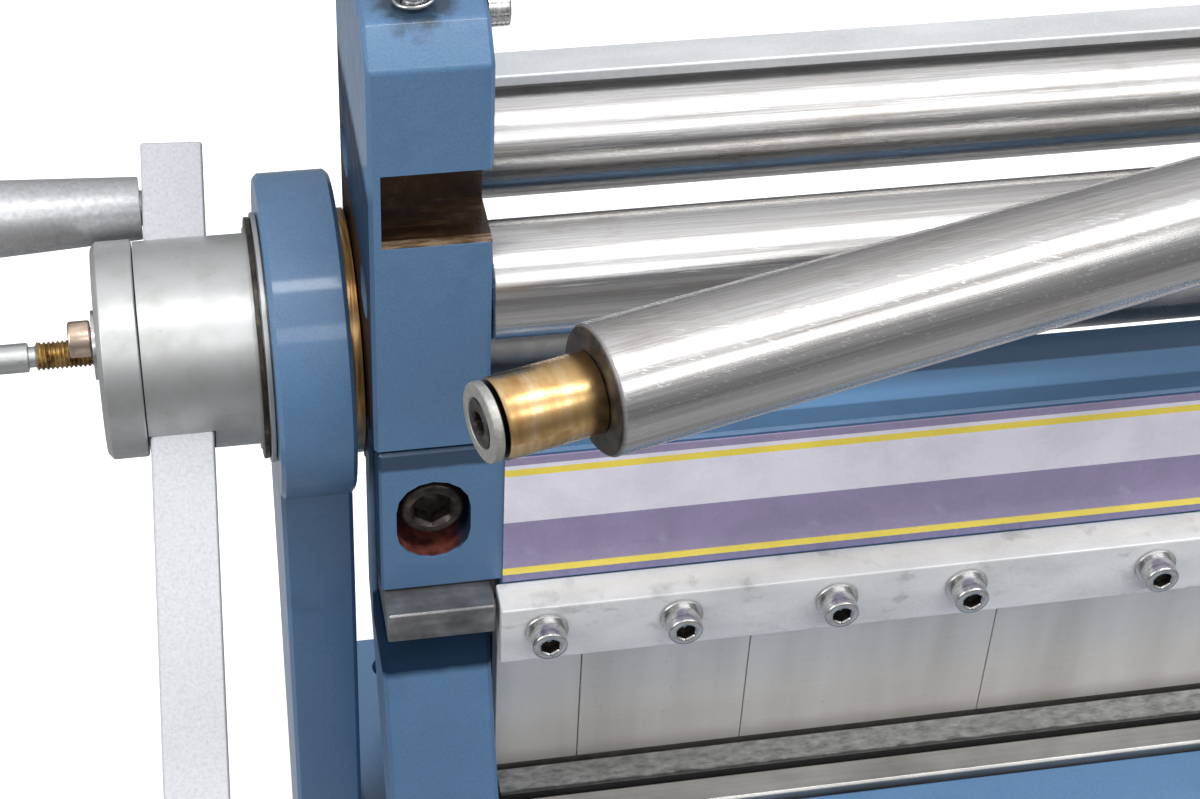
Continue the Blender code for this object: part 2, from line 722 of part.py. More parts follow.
def table():
    """Cast beam between the side frames, with the seat for the die and the bolt holes."""
    half = INNER_X - CLEAR
    die_floor = DIE_TOP_DROP + DIE_HEIGHT + CLEAR
    outline = yz([
        (-TABLE_FRONT, TABLE_TOP_DROP + 0.004),
        (-STRIP_FRONT - 0.0006, TABLE_TOP_DROP),
        (-STRIP_FRONT - 0.0006, DIE_TOP_DROP + STRIP_HEIGHT + CLEAR),
        (-DIE_FRONT - CLEAR, DIE_TOP_DROP + STRIP_HEIGHT + CLEAR),
        (-DIE_FRONT - CLEAR, die_floor),
        (DIE_BACK + CLEAR, die_floor),
        (DIE_BACK + CLEAR, TABLE_BACK_TOP_DROP),
        (TABLE_BACK, TABLE_BACK_TOP_DROP),
        (TABLE_BACK, TABLE_BOTTOM_DROP),
        (-TABLE_FRONT, TABLE_BOTTOM_DROP),
    ])
    beam = make("table_beam", prism(outline, -half, half), BLUE)
    round_edges(beam, 0.0008)
    for side in (-1, 1):
        x = side * (INNER_X - GAUGE_ROD_INSET)
        z = NOTCH_Z - GAUGE_ROD_DROP
        hole = rod(
            (x, FACE_Y + TABLE_BACK - 0.016, z),
            (x, FACE_Y + TABLE_BACK + 0.002, z),
            GAUGE_ROD_DIAMETER + 2 * CLEAR,
        )
        cut(beam, make("gauge_rod_bore", hole))
    die = yz([
        (-DIE_FRONT, DIE_TOP_DROP),
        (GROOVE_CENTRE - GROOVE_HALF_WIDTH, DIE_TOP_DROP),
        (GROOVE_CENTRE - 0.0008, DIE_TOP_DROP + GROOVE_DEPTH),
        (GROOVE_CENTRE + 0.0008, DIE_TOP_DROP + GROOVE_DEPTH),
        (GROOVE_CENTRE + GROOVE_HALF_WIDTH, DIE_TOP_DROP),
        (DIE_BACK, DIE_TOP_DROP),
        (DIE_BACK, DIE_TOP_DROP + DIE_HEIGHT - 0.001),
        (DIE_BACK - 0.001, DIE_TOP_DROP + DIE_HEIGHT),
        (0.001 - DIE_FRONT, DIE_TOP_DROP + DIE_HEIGHT),
        (-DIE_FRONT, DIE_TOP_DROP + DIE_HEIGHT - 0.001),
    ])
    make("v_die", prism(die, FINGER_LEFT, -FINGER_LEFT), IRON, smooth=False)
    strip = make(
        "table_front_strip",
        block(
            (-half + 0.001, FACE_Y - STRIP_FRONT, NOTCH_Z - DIE_TOP_DROP - STRIP_HEIGHT),
            (half - 0.001, FACE_Y - STRIP_BACK, NOTCH_Z - DIE_TOP_DROP),
        ),
        STEEL,
    )
    round_edges(strip, STRIP_CHAMFER, 1)


def table_bolt_places():
    """Y and Z of the bolt heads that hold the table between the side frames."""
    return [(FACE_Y - 0.026, NOTCH_Z - TABLE_BOLT_DROP), (FACE_Y + 0.008, NOTCH_Z - TABLE_BOLT_DROP)]


def leg_front(drop):
    """Distance of the leg's front face behind the bracket face at a drop below the notch roof."""
    return -LEG_TOP_FRONT - LEG_SLOPE * (drop - LEG_TOP_DROP)


def side_frame(side, word):
    """Casting with an upright, a sloping front leg, a web behind it and a long foot."""
    foot_top = FLOOR_DROP - FOOT_HEIGHT
    plate = yz([
        (UPRIGHT_FRONT, UPRIGHT_TOP_DROP),
        (UPRIGHT_BACK, UPRIGHT_TOP_DROP),
        (UPRIGHT_BACK, LEG_TOP_DROP + 0.006),
        (leg_front(foot_top + 0.004) + LEG_THICKNESS, foot_top + 0.004),
        (leg_front(foot_top + 0.004), foot_top + 0.004),
        (leg_front(LEG_TOP_DROP), LEG_TOP_DROP),
        (UPRIGHT_FRONT, LEG_TOP_DROP),
    ])
    frame = make("base_frame_" + word, prism(plate, *side_x(side, INNER_X, OUTER_X)), BLUE)
    round_edges(frame, 0.0012)
    web_outline = yz([
        (UPRIGHT_FRONT + 0.004, UPRIGHT_TOP_DROP + 0.004),
        (WEB_TOP_BACK, UPRIGHT_TOP_DROP + 0.050),
        (WEB_FOOT_BACK, foot_top + 0.004),
        (leg_front(foot_top + 0.004) + 0.004, foot_top + 0.004),
        (leg_front(LEG_TOP_DROP + 0.004) + 0.004, LEG_TOP_DROP + 0.004),
        (UPRIGHT_FRONT + 0.004, LEG_TOP_DROP + 0.004),
    ])
    web_x = side_x(side, OUTER_X - WEB_OFFSET, OUTER_X - WEB_OFFSET - WEB_THICKNESS)
    web = make("web_" + word, prism(web_outline, *web_x))
    foot = make(
        "foot_" + word,
        side_box(side, (INNER_X, OUTER_X + 0.0015), (-FOOT_FRONT, FOOT_BACK), (foot_top, FLOOR_DROP)),
    )
    round_edges(foot, 0.002)
    boss = make(
        "table_boss_" + word,
        side_box(
            side,
            (INNER_X, OUTER_X - WEB_OFFSET - 0.002),
            (-0.042, TABLE_BACK),
            (TABLE_BOSS_DROP, TABLE_BOTTOM_DROP),
        ),
    )
    join(frame, web, foot, boss)
    z = NOTCH_Z - GUIDE_SCREW_DROP
    x = side * (OUTER_X - SLOT_INSET)
    guide_hole = rod(
        (x, FACE_Y + UPRIGHT_FRONT - 0.002, z),
        (x, FACE_Y + WEB_TOP_BACK + 0.01, z),
        GUIDE_SCREW_DIAMETER + 2 * CLEAR,
    )
    cut(frame, make("guide_bore_" + word, guide_hole))
    through = (INNER_X - 0.004, OUTER_X + 0.006)
    pin_bore = side_rod(side, through, HUB_Y, LINK_PIN_HEIGHT, LINK_PIN_DIAMETER + 2 * CLEAR)
    cut(frame, make("link_pin_bore_" + word, pin_bore))
    for y, z in table_bolt_places():
        reach = (OUTER_X - WEB_OFFSET - 0.001, OUTER_X - 0.001)
        head = side_rod(side, reach, y, z, TABLE_BOLT_HEAD, 28, 0.0008)
        socket = hexagon_hole((side * (OUTER_X - 0.001), y, z), (-side, 0, 0), 0.008, 0.004)
        join(frame, make("table_bolt_" + word, head))
        cut(frame, make("table_bolt_hex_" + word, socket))
    for y in foot_hole_ys():
        x = side * (OUTER_X - BRACKET_WIDTH / 2)
        hole = rod((x, y, -0.003), (x, y, FOOT_HEIGHT + 0.003), FOOT_HOLE_DIAMETER, 24)
        cut(frame, make("foot_bore", hole))
    return frame


def foot_hole_ys():
    return [FACE_Y - FOOT_FRONT + FOOT_HOLE_INSET, FACE_Y + FOOT_BACK - FOOT_HOLE_INSET]


def frame_fasteners():
    """The screws that guide the ram's end blocks, and the pins at the links' lower ends."""
    z = NOTCH_Z - GUIDE_SCREW_DROP
    head = OUTER_X + LINK_TOP_OUT + CLEAR
    radius = LINK_PIN_DIAMETER / 2
    for side, word in ((-1, "left"), (1, "right")):
        x, y = side * (OUTER_X - SLOT_INSET), FACE_Y + UPRIGHT_FRONT - CLEAR
        shape = socket_screw(
            (x, y, z), (0, 1, 0), GUIDE_SCREW_DIAMETER, GUIDE_HEAD_DIAMETER, GUIDE_HEAD_LENGTH, 0.0118, 32
        )
        screw = make("guide_screw_" + word, shape, BLACK)
        socket = hexagon_hole((x, y - GUIDE_HEAD_LENGTH, z), (0, 1, 0), 0.010, 0.006)
        cut(screw, make("guide_hex_" + word, socket))
        pin = turned(
            [
                (0, radius + 0.004),
                (0.001, radius + 0.005),
                (0.005, radius + 0.005),
                (0.005, radius),
                (0.003 + head - INNER_X, radius),
            ],
            (side * (head + 0.005), HUB_Y, LINK_PIN_HEIGHT),
            (-side, 0, 0),
        )
        make("link_pin_" + word, pin, STEEL)


def rolls():
    """Lower front roll with its crank end and the rear bending roll."""
    body = INNER_X - ROLL_END_GAP
    crank_end = OUTER_X + CRANK_OUTSET + CRANK_THICKNESS
    ease = 0.0008
    journal = JOURNAL_DIAMETER / 2
    lower = turned(
        [
            (0, journal - ease),
            (ease, journal),
            (OUTER_X - body - 0.001, journal),
            (OUTER_X - body - 0.001, ROLL_RADIUS - ease),
            (OUTER_X - body - 0.001 + ease, ROLL_RADIUS),
            (OUTER_X + body - 0.001 - ease, ROLL_RADIUS),
            (OUTER_X + body - 0.001, ROLL_RADIUS - ease),
            (OUTER_X + body - 0.001, journal),
            (2 * OUTER_X, journal),
            (2 * OUTER_X, CRANK_SHAFT_DIAMETER / 2),
            (OUTER_X - 0.001 + crank_end, CRANK_SHAFT_DIAMETER / 2),
        ],
        (-OUTER_X + 0.001, LOWER_Y, LOWER_Z),
        (1, 0, 0),
        48,
    )
    make("lower_roll", lower, STEEL, (0, LOWER_Y, LOWER_Z))
    rear = turned(
        [
            (0, journal - ease),
            (ease, journal),
            (OUTER_X - body - 0.001, journal),
            (OUTER_X - body - 0.001, ROLL_RADIUS - ease),
            (OUTER_X - body - 0.001 + ease, ROLL_RADIUS),
            (OUTER_X + body - 0.001 - ease, ROLL_RADIUS),
            (OUTER_X + body - 0.001, ROLL_RADIUS - ease),
            (OUTER_X + body - 0.001, journal),
            (2 * OUTER_X - 0.002 - ease, journal),
            (2 * OUTER_X - 0.002, journal - ease),
        ],
        (-OUTER_X + 0.001, REAR_Y, REAR_Z),
        (1, 0, 0),
        48,
    )
    make("rear_roll", rear, STEEL, (0, REAR_Y, REAR_Z))


def swung(point):
    """A point on the seated top roll, carried round the swivel to the released position."""
    turn = Matrix.Rotation(SWING_ANGLE, 4, "Z")
    return PIVOT + turn @ (Vector(point) - PIVOT)


def top_roll():
    """Roll released at the left and swung out to the front round its swivel block."""
    direction = Matrix.Rotation(SWING_ANGLE, 3, "Z") @ Vector((-1, 0, 0))
    right = PIVOT_X - INNER_X + SHOULDER_GAP
    left = PIVOT_X + INNER_X - ROLL_END_GAP
    ease = 0.0008
    journal = TOP_JOURNAL_DIAMETER / 2
    neck = TOP_BUSH_DIAMETER / 2 - END_GROOVE_DEPTH
    bore = END_SCREW_DIAMETER / 2 + CLEAR
    bush_end = left + CLEAR + TOP_BUSH_LENGTH
    roll = turned(
        [
            (-TOP_JOURNAL_REACH, journal - ease),
            (-TOP_JOURNAL_REACH + ease, journal),
            (right, journal),
            (right, ROLL_RADIUS - ease),
            (right + ease, ROLL_RADIUS),
            (left - ease, ROLL_RADIUS),
            (left, ROLL_RADIUS - ease),
        ],
        PIVOT,
        direction,
        48,
    )
    roll_object = make("top_roll", roll, STEEL, PIVOT)
    screw_hole = rod(PIVOT + direction * (left - 0.012), PIVOT + direction * (left + 0.002), 2 * bore, 24)
    cut(roll_object, make("end_screw_bore", screw_hole, origin=PIVOT))
    corners = [
        (left + CLEAR, bore),
        (left + CLEAR, TOP_BUSH_DIAMETER / 2),
        (bush_end, TOP_BUSH_DIAMETER / 2),
        (bush_end, neck),
        (bush_end + END_GROOVE, neck),
        (bush_end + END_GROOVE, bore),
    ]
    make("top_roll_bush", turned_ring(corners, PIVOT, direction, 32), BRASS, PIVOT)
    washer_start = bush_end + END_GROOVE + CLEAR
    outer = TOP_BUSH_DIAMETER / 2 - 0.00025
    head = 0.0060
    corners = [
        (washer_start, 0.0043),
        (washer_start, outer - 0.0003),
        (washer_start + 0.0003, outer),
        (washer_start + END_WASHER_LENGTH - 0.0005, outer),
        (washer_start + END_WASHER_LENGTH, outer - 0.0005),
        (washer_start + END_WASHER_LENGTH, head + CLEAR),
        (washer_start + END_WASHER_LENGTH - 0.0017, 0.0043),
    ]
    ring = turned_ring(corners, PIVOT, direction, 32)
    make("top_roll_end_washer", ring, ZINC, PIVOT)
    face = washer_start + END_WASHER_LENGTH
    screw = turned(
        [
            (left - 0.010, END_SCREW_DIAMETER / 2),
            (face - 0.0017, END_SCREW_DIAMETER / 2),
            (face, head),
        ],
        PIVOT,
        direction,
        28,
    )
    screw_object = make("top_roll_end_screw", screw, BLACK, PIVOT)
    hexagon = hexagon_hole(PIVOT + direction * face, -direction, 0.005, 0.003)
    cut(screw_object, make("end_hex", hexagon, origin=PIVOT))


def swivel_block():
    """Upright round block in the right notch: it turns on two trunnions and carries the roll's journal."""
    half = NOTCH_HEIGHT / 2 - CLEAR
    middle = PIVOT.z + TOP_ROLL_DROP - NOTCH_HEIGHT / 2
    trunnion = TRUNNION_DIAMETER / 2
    profile = [
        (-half - TRUNNION_LENGTH, trunnion),
        (-half, trunnion),
        (-half, SWIVEL_DIAMETER / 2),
        (half, SWIVEL_DIAMETER / 2),
        (half, trunnion),
        (half + TRUNNION_LENGTH, trunnion),
    ]
    body = make("swivel_block", turned(profile, (PIVOT_X, TOP_Y, middle), (0, 0, 1), 24), STEEL, PIVOT)
    start = swung(PIVOT + Vector((-0.02, 0, 0)))
    end = swung(PIVOT + Vector((0.02, 0, 0)))
    bore = rod(start, end, TOP_JOURNAL_DIAMETER + 2 * RUNNING)
    cut(body, make("swivel_bore", bore, origin=PIVOT))


def crank():
    """Arm with its riveted pin on the right end of the lower roll, and the grip that spins on the pin."""
    inner = OUTER_X + CRANK_OUTSET
    outer = inner + CRANK_THICKNESS
    top = Vector((0, LOWER_Y, LOWER_Z + CRANK_RADIUS))
    boss = side_rod(1, (inner, outer + 0.004), LOWER_Y, LOWER_Z, CRANK_BOSS_DIAMETER, 28, 0.001)
    arm = make("crank_arm", boss, BLACK, (0, LOWER_Y, LOWER_Z))
    low = (inner + 0.0017, LOWER_Y - 0.0083, LOWER_Z + 0.004)
    bar = block(low, (outer - 0.0017, LOWER_Y + 0.0083, top.z - 0.003))
    knuckle = side_rod(1, (inner, outer), top.y, top.z, 0.022, 32, 0.001)
    grip_start = outer + CLEAR
    pin_end = grip_start + CRANK_GRIP_LENGTH - 0.0045 + CLEAR
    pin = turned(
        [
            (0, 0.004),
            (pin_end - inner - 0.002, 0.004),
            (pin_end - inner - 0.002, 0.0063),
            (pin_end - inner, 0.0063),
            (pin_end - inner + 0.001, 0.0050),
        ],
        (inner + 0.002, top.y, top.z),
        (1, 0, 0),
        24,
    )
    join(arm, make("crank_bar", bar), make("crank_knuckle", knuckle), make("crank_pin", pin))
    seat = side_rod(1, (inner - 0.002, outer + CLEAR), LOWER_Y, LOWER_Z, CRANK_SHAFT_DIAMETER + 2 * CLEAR, 28)
    cut(arm, make("crank_bore", seat))
    radius = CRANK_GRIP_DIAMETER / 2
    bore = 0.004 + RUNNING
    length = CRANK_GRIP_LENGTH
    corners = [
        (0, bore),
        (0, radius * 0.62),
        (0.006, radius * 0.78),
        (length * 0.35, radius * 0.97),
        (length * 0.60, radius),
        (length * 0.85, radius * 0.90),
        (length - 0.004, radius * 0.72),
        (length, radius * 0.60),
        (length, 0.0067),
        (length - 0.0045, 0.0067),
        (length - 0.0045, bore),
    ]
    grip = turned_ring(corners, (grip_start, top.y, top.z), (1, 0, 0), 28)
    make("crank_grip", grip, PLASTIC, (grip_start, top.y, top.z))


def eccentric(side, word):
    """Eccentric disc with its flange; on the left it goes on as the hub that holds the lever."""
    disc = DISC_DIAMETER / 2
    start = CLEAR + 0.0001
    flange_end = start + FLANGE_THICKNESS
    link_end = LINK_TOP_OUT
    profile = [
        (start, FLANGE_DIAMETER / 2),
        (flange_end, FLANGE_DIAMETER / 2),
        (flange_end, disc),
        (link_end + 2 * RING_THICKNESS + 2 * CLEAR + 0.0006, disc),
    ]
    if side < 0:
        hub_start = link_end + 2 * RING_THICKNESS + 2 * CLEAR + 0.0006
        profile += [(hub_start, HUB_DIAMETER / 2), (hub_start + HUB_LENGTH, HUB_DIAMETER / 2)]
    else:
        profile[-1] = (link_end + CLEAR, disc)
        profile += [
            (link_end + CLEAR, RING_DIAMETER / 2),
            (link_end + CLEAR + 2 * RING_THICKNESS, RING_DIAMETER / 2),
        ]
    piece = make(
        "eccentric_" + word,
        turned(profile, (side * OUTER_X, HUB_Y, HUB_Z), (side, 0, 0), 44),
        ZINC,
        (side * OUTER_X, SHAFT_Y, SHAFT_Z),
    )
    reach = LINK_TOP_OUT + (0.001 if side < 0 else 0.02)
    bore = side_rod(side, (OUTER_X - 0.002, OUTER_X + reach), SHAFT_Y, SHAFT_Z, SHAFT_DIAMETER + 2 * CLEAR)
    cut(piece, make("eccentric_bore_" + word, bore))
    if side < 0:
        cut(piece, make("lever_bore", lever_box(LEVER_SIZE / 2 + CLEAR, -0.05, 0.05)))
        x_low, x_high = OUTER_X + LEVER_CENTRE, OUTER_X + 0.09
        bore = side_rod(-1, (x_low, x_high), HUB_Y, HUB_Z, LOCK_SCREW_DIAMETER + 2 * RUNNING)
        cut(piece, make("lock_bore", bore))
    return piece


def lever_box(half, low, high):
    """A square bar along the lever's axis, between two distances from the hub axis."""
    shape = block((-half, -half, low), (half, half, high))
    place = Matrix.Translation((-OUTER_X - LEVER_CENTRE, HUB_Y, HUB_Z))
    bmesh.ops.transform(shape, matrix=place @ LEVER_TURN, verts=shape.verts)
    return shape


def lever_point(along, out=0.0):
    """A point on the lever's axis, with out measured to the left."""
    return Vector((-OUTER_X - LEVER_CENTRE - out, HUB_Y, HUB_Z)) + LEVER_AXIS * along


def lever():
    """Square lever bar, its side handle, its end grip and the lock screw."""
    shaft_origin = (-OUTER_X, SHAFT_Y, SHAFT_Z)
    bar = make("lever_bar", lever_box(LEVER_SIZE / 2, -LEVER_STUB, LEVER_REACH), ZINC, shaft_origin)
    round_edges(bar, 0.0006, 1)
    bore_from = lever_point(-HANDLE_PLACE, LEVER_SIZE)
    bore_to = lever_point(-HANDLE_PLACE, -0.001)
    cut(bar, make("handle_bore", rod(bore_from, bore_to, 0.010 + 2 * CLEAR, 24)))
    root, end = HANDLE_ROOT_DIAMETER / 2, HANDLE_END_DIAMETER / 2
    seat = LEVER_SIZE / 2 + CLEAR + HANDLE_ROOT_DIAMETER / 2 * math.sin(LEVER_LEAN)
    handle = turned(
        [
            (0.001, 0.005),
            (seat, 0.005),
            (seat, root),
            (seat + HANDLE_LENGTH * 0.80, end),
            (seat + HANDLE_LENGTH * 0.92, end * 0.97),
            (seat + HANDLE_LENGTH * 0.97, end * 0.80),
            (seat + HANDLE_LENGTH, end * 0.45),
        ],
        lever_point(-HANDLE_PLACE),
        (-1, 0, 0),
        28,
    )
    make("side_handle", handle, ZINC, shaft_origin)
    grip_low = LEVER_REACH - GRIP_LENGTH + 0.012
    radius = GRIP_DIAMETER / 2
    grip = turned(
        [
            (grip_low, radius * 0.92),
            (grip_low + 0.004, radius),
            (LEVER_REACH, radius),
            (LEVER_REACH + 0.009, radius * 0.88),
            (LEVER_REACH + 0.012, radius * 0.60),
        ],
        lever_point(0),
        LEVER_AXIS,
        28,
    )
    grip_object = make("lever_grip", grip, PLASTIC, shaft_origin)
    hollow = lever_box(LEVER_SIZE / 2 + CLEAR, grip_low - 0.005, LEVER_REACH + CLEAR)
    cut(grip_object, make("grip_bore", hollow))
    lock_start = LEVER_CENTRE + LEVER_SIZE / 2 + CLEAR
    lock = LOCK_SCREW_DIAMETER / 2
    screw = turned(
        [
            (lock_start, lock - 0.0006),
            (lock_start + 0.0006, lock),
            (LOCK_THREAD_END, lock),
            (LOCK_THREAD_END, lock - 0.0012),
            (LOCK_NECK_END, lock - 0.0012),
            (LOCK_NECK_END, lock + 0.0001),
            (LOCK_SHANK_END, lock + 0.0001),
            (LOCK_SHANK_END, LOCK_KNOB_DIAMETER / 2 - 0.001),
            (LOCK_SHANK_END + 0.001, LOCK_KNOB_DIAMETER / 2),
            (LOCK_SHANK_END + LOCK_KNOB_LENGTH - 0.001, LOCK_KNOB_DIAMETER / 2),
            (LOCK_SHANK_END + LOCK_KNOB_LENGTH, LOCK_KNOB_DIAMETER / 2 - 0.001),
        ],
        (-OUTER_X, HUB_Y, HUB_Z),
        (-1, 0, 0),
        20,
    )
    make("lock_screw", screw, BRASS, (-OUTER_X, HUB_Y, HUB_Z))


def hub_trim():
    """Cap, plate and screw on the hub's end, and the two retaining rings outside the left link."""
    cap_start = LINK_TOP_OUT + 2 * RING_THICKNESS + 2 * CLEAR + 0.0006 + HUB_LENGTH + CLEAR
    cap_end = cap_start + CAP_THICKNESS
    origin = (-OUTER_X, SHAFT_Y, SHAFT_Z)
    radius = CAP_DIAMETER / 2
    cap = make(
        "hub_cap",
        turned(
            [
                (cap_start, radius - 0.0004),
                (cap_start + 0.0004, radius),
                (cap_end - 0.0015, radius),
                (cap_end, radius - 0.0018),
            ],
            (-OUTER_X, HUB_Y, HUB_Z),
            (-1, 0, 0),
            48,
        ),
        ZINC,
        origin,
    )
    lock_hole = LOCK_SCREW_DIAMETER + 2 * RUNNING
    ends = (OUTER_X + cap_start - 0.002, OUTER_X + cap_end + 0.005)
    screw_y, screw_z = HUB_Y - 0.0043, HUB_Z + 0.0085
    cut(cap, make("cap_lock_bore", side_rod(-1, ends, HUB_Y, HUB_Z, lock_hole)))
    cut(cap, make("cap_screw_bore", side_rod(-1, ends, screw_y, screw_z, SCREW_DIAMETER + 2 * CLEAR, 24)))
    plate_start = OUTER_X + cap_end + CLEAR
    plate_end = plate_start + PLATE_THICKNESS
    plate_y, plate_z = HUB_Y - 0.002, HUB_Z + 0.004
    disc = side_rod(-1, (plate_start, plate_end), plate_y, plate_z, PLATE_DIAMETER, 28)
    plate = make("hub_plate", disc, ZINC, origin)
    cut(plate, make("plate_lock_bore", side_rod(-1, ends, HUB_Y, HUB_Z, lock_hole)))
    cut(plate, make("plate_screw_bore", side_rod(-1, ends, screw_y, screw_z, SCREW_DIAMETER + 2 * CLEAR, 24)))
    seat = (-(plate_end + CLEAR), screw_y, screw_z)
    screw = make(
        "hub_screw",
        socket_screw(seat, (1, 0, 0), SCREW_DIAMETER, SCREW_HEAD_DIAMETER, SCREW_HEAD_HEIGHT, 0.011),
        BRASS,
        origin,
    )
    hexagon = hexagon_hole((seat[0] - SCREW_HEAD_HEIGHT, screw_y, screw_z), (1, 0, 0), 0.005, 0.003)
    cut(screw, make("hub_hex", hexagon))
    start = OUTER_X + LINK_TOP_OUT + CLEAR
    make("inner_retaining_ring", retaining_ring(-1, start, RING_DIAMETER), ZINC, origin)
    start += RING_THICKNESS + CLEAR
    make("outer_retaining_ring", retaining_ring(-1, start, OUTER_RING_DIAMETER), BLACK, origin)


def retaining_ring(side, start, diameter):
    """An open spring ring with two ears at the bottom."""
    outer, inner = diameter / 2, DISC_DIAMETER / 2 + CLEAR
    gap = math.radians(4)
    steps = 48
    outline = []
    for step in range(steps + 1):
        angle = -math.pi / 2 + gap + (math.tau - 2 * gap) * step / steps
        reach = outer + (0.0012 if step in (0, 1, steps - 1, steps) else 0)
        outline.append((HUB_Y + reach * math.cos(angle), HUB_Z + reach * math.sin(angle)))
    for step in range(steps, -1, -1):
        angle = -math.pi / 2 + gap + (math.tau - 2 * gap) * step / steps
        outline.append((HUB_Y + inner * math.cos(angle), HUB_Z + inner * math.sin(angle)))
    low, high = side_x(side, start, start + RING_THICKNESS)
    return prism(outline, low, high)


def link(side, word):
    """Connecting link between an eccentric and its side frame, with a round eye at each end."""
    inner, outer = OUTER_X + LINK_OUTSET, OUTER_X + LINK_OUTSET + LINK_THICKNESS
    shank_outer = inner + SHANK_THICKNESS
    half = LINK_SHANK_WIDTH / 2
    body = make(
        "link_" + word,
        side_rod(side, (inner, outer), HUB_Y, HUB_Z, LINK_EYE_DIAMETER, 48, 0.0012),
        BLUE,
        (side * OUTER_X, HUB_Y, HUB_Z),
    )
    x_low, x_high = side_x(side, inner, shank_outer)
    foot = LINK_FOOT_DIAMETER / 2
    shank = make(
        "shank_" + word,
        prism(
            [
                (HUB_Y - half, HUB_Z - 0.03),
                (HUB_Y + half, HUB_Z - 0.03),
                (HUB_Y + foot - 0.002, LINK_PIN_HEIGHT + 0.01),
                (HUB_Y - foot + 0.002, LINK_PIN_HEIGHT + 0.01),
            ],
            x_low,
            x_high,
        ),
    )
    round_edges(shank, 0.0012)
    ring = side_rod(side, (inner, shank_outer), HUB_Y, LINK_PIN_HEIGHT, LINK_FOOT_DIAMETER, 28, 0.001)
    low_eye = make("low_eye_" + word, ring)
    join(body, shank, low_eye)
    bore = DISC_DIAMETER + 2 * RUNNING
    through = (inner - 0.002, outer + 0.002)
    cut(body, make("eye_bore_" + word, side_rod(side, through, HUB_Y, HUB_Z, bore, 44)))
    play = LINK_PIN_DIAMETER + 2 * LINK_PIN_PLAY
    cut(body, make("pin_bore_" + word, side_rod(side, through, HUB_Y, LINK_PIN_HEIGHT, play, 28)))
    return body


def cross_shaft():
    """Shaft through both brackets that turns the two eccentrics together."""
    left = -(OUTER_X + LINK_TOP_OUT)
    right = OUTER_X + LINK_TOP_OUT + 0.002
    shaft = rod((left, SHAFT_Y, SHAFT_Z), (right, SHAFT_Y, SHAFT_Z), SHAFT_DIAMETER, 40, 0.0008)
    make("cross_shaft", shaft, STEEL, (0, SHAFT_Y, SHAFT_Z))


def knurled_knob(seat, height, diameter, screw, drop):
    """A knob on a downward screw, standing on seat."""
    radius = diameter / 2
    return turned(
        [
            (-drop, screw / 2),
            (0, screw / 2),
            (0, radius - 0.001),
            (0.001, radius),
            (height - 0.001, radius),
            (height, radius - 0.001),
        ],
        seat,
        (0, 0, 1),
        20,
    )


def bracket_screws():
    """The sprung adjusting screw over the left notch and the two screws over the rear roll."""
    latch = latch_place(-1)
    seat = latch + Vector((0, 0, LATCH_SPRING_LENGTH + 2 * CLEAR))
    drop = BRACKET_TOP + LATCH_SPRING_LENGTH - 0.0008
    make("latch_screw", knurled_knob(seat, KNOB_HEIGHT, 0.016, SCREW_DIAMETER, drop), ZINC, latch)
    make_spring("latch_spring", latch + Vector((0, 0, CLEAR)))
    reach = BRACKET_TOP + REAR_ROLL_DROP - JOURNAL_DIAMETER / 2 - RUNNING - CLEAR
    for side, word in ((-1, "left"), (1, "right")):
        bend = bend_place(side)
        seat = bend + Vector((0, 0, CLEAR))
        shape = knurled_knob(seat, KNOB_HEIGHT, KNOB_DIAMETER, BEND_SCREW_DIAMETER, reach)
        make("bend_screw_" + word, shape, ZINC, bend)


def make_spring(name, seat):
    """A compression spring wound as one unbroken wire, with closed end turns."""
    radius = (LATCH_SPRING_DIAMETER - SPRING_WIRE) / 2
    low = SPRING_WIRE / 2
    high = LATCH_SPRING_LENGTH - SPRING_WIRE / 2
    dead = 0.09  # share of the winding that lies flat at each end
    count = SPRING_TURNS * 8
    points = []
    for index in range(count + 1):
        share = index / count
        rise = min(max((share - dead) / (1 - 2 * dead), 0), 1)
        flat = SPRING_WIRE * 1.45
        height = low + flat * min(share / dead, 1) + (high - low - 2 * flat) * rise
        height += flat * max((share - 1 + dead) / dead, 0)
        angle = SPRING_START + math.tau * SPRING_TURNS * share
        points.append(seat + Vector((radius * math.cos(angle), radius * math.sin(angle), height)))
    least = min(
        (points[i] - points[j]).length - SPRING_WIRE
        for i in range(count + 1)
        for j in range(i + 5, count + 1)
    )
    print(name, "least gap between turns", round(least * 1000, 2), "mm")
    curve = bpy.data.curves.new(name, "CURVE")
    curve.dimensions = "3D"
    curve.bevel_depth = SPRING_WIRE / 2
    curve.bevel_resolution = 1
    curve.use_fill_caps = True
    spline = curve.splines.new("POLY")
    spline.points.add(count)
    for item, point in zip(spline.points, points):
        item.co = (point - seat).to_4d()
    piece = bpy.data.objects.new(name, curve)
    piece.location = seat
    curve.materials.append(finish_of(name, STEEL))
    bpy.context.scene.collection.objects.link(piece)


def stay():
    """Galvanised flat bar between the brackets above the rear roll, and the screw beside it."""
    end = INNER_X - CLEAR
    top = NOTCH_Z - STAY_TOP_DROP
    bar = make(
        "rear_stay_bar",
        block(
            (-end, FACE_Y + STAY_BACK - STAY_WIDTH, top - STAY_THICKNESS),
            (end, FACE_Y + STAY_BACK, top),
        ),
        ZINC,
    )
    round_edges(bar, 0.0005, 1)
    seat = (SIDE_SCREW_STAND - INNER_X, FACE_Y + SIDE_SCREW_BACK, NOTCH_Z + SIDE_SCREW_RISE)
    shape = socket_screw(seat, (-1, 0, 0), SCREW_DIAMETER, SCREW_HEAD_DIAMETER, SCREW_HEAD_HEIGHT, 0.010)
    make("side_screw", shape, BRASS)
    hole = side_rod(-1, (INNER_X - 0.002, INNER_X + 0.013), seat[1], seat[2], SCREW_DIAMETER + 2 * CLEAR, 24)
    cut(bpy.data.objects["roll_bracket_left"], make("side_screw_bore", hole))


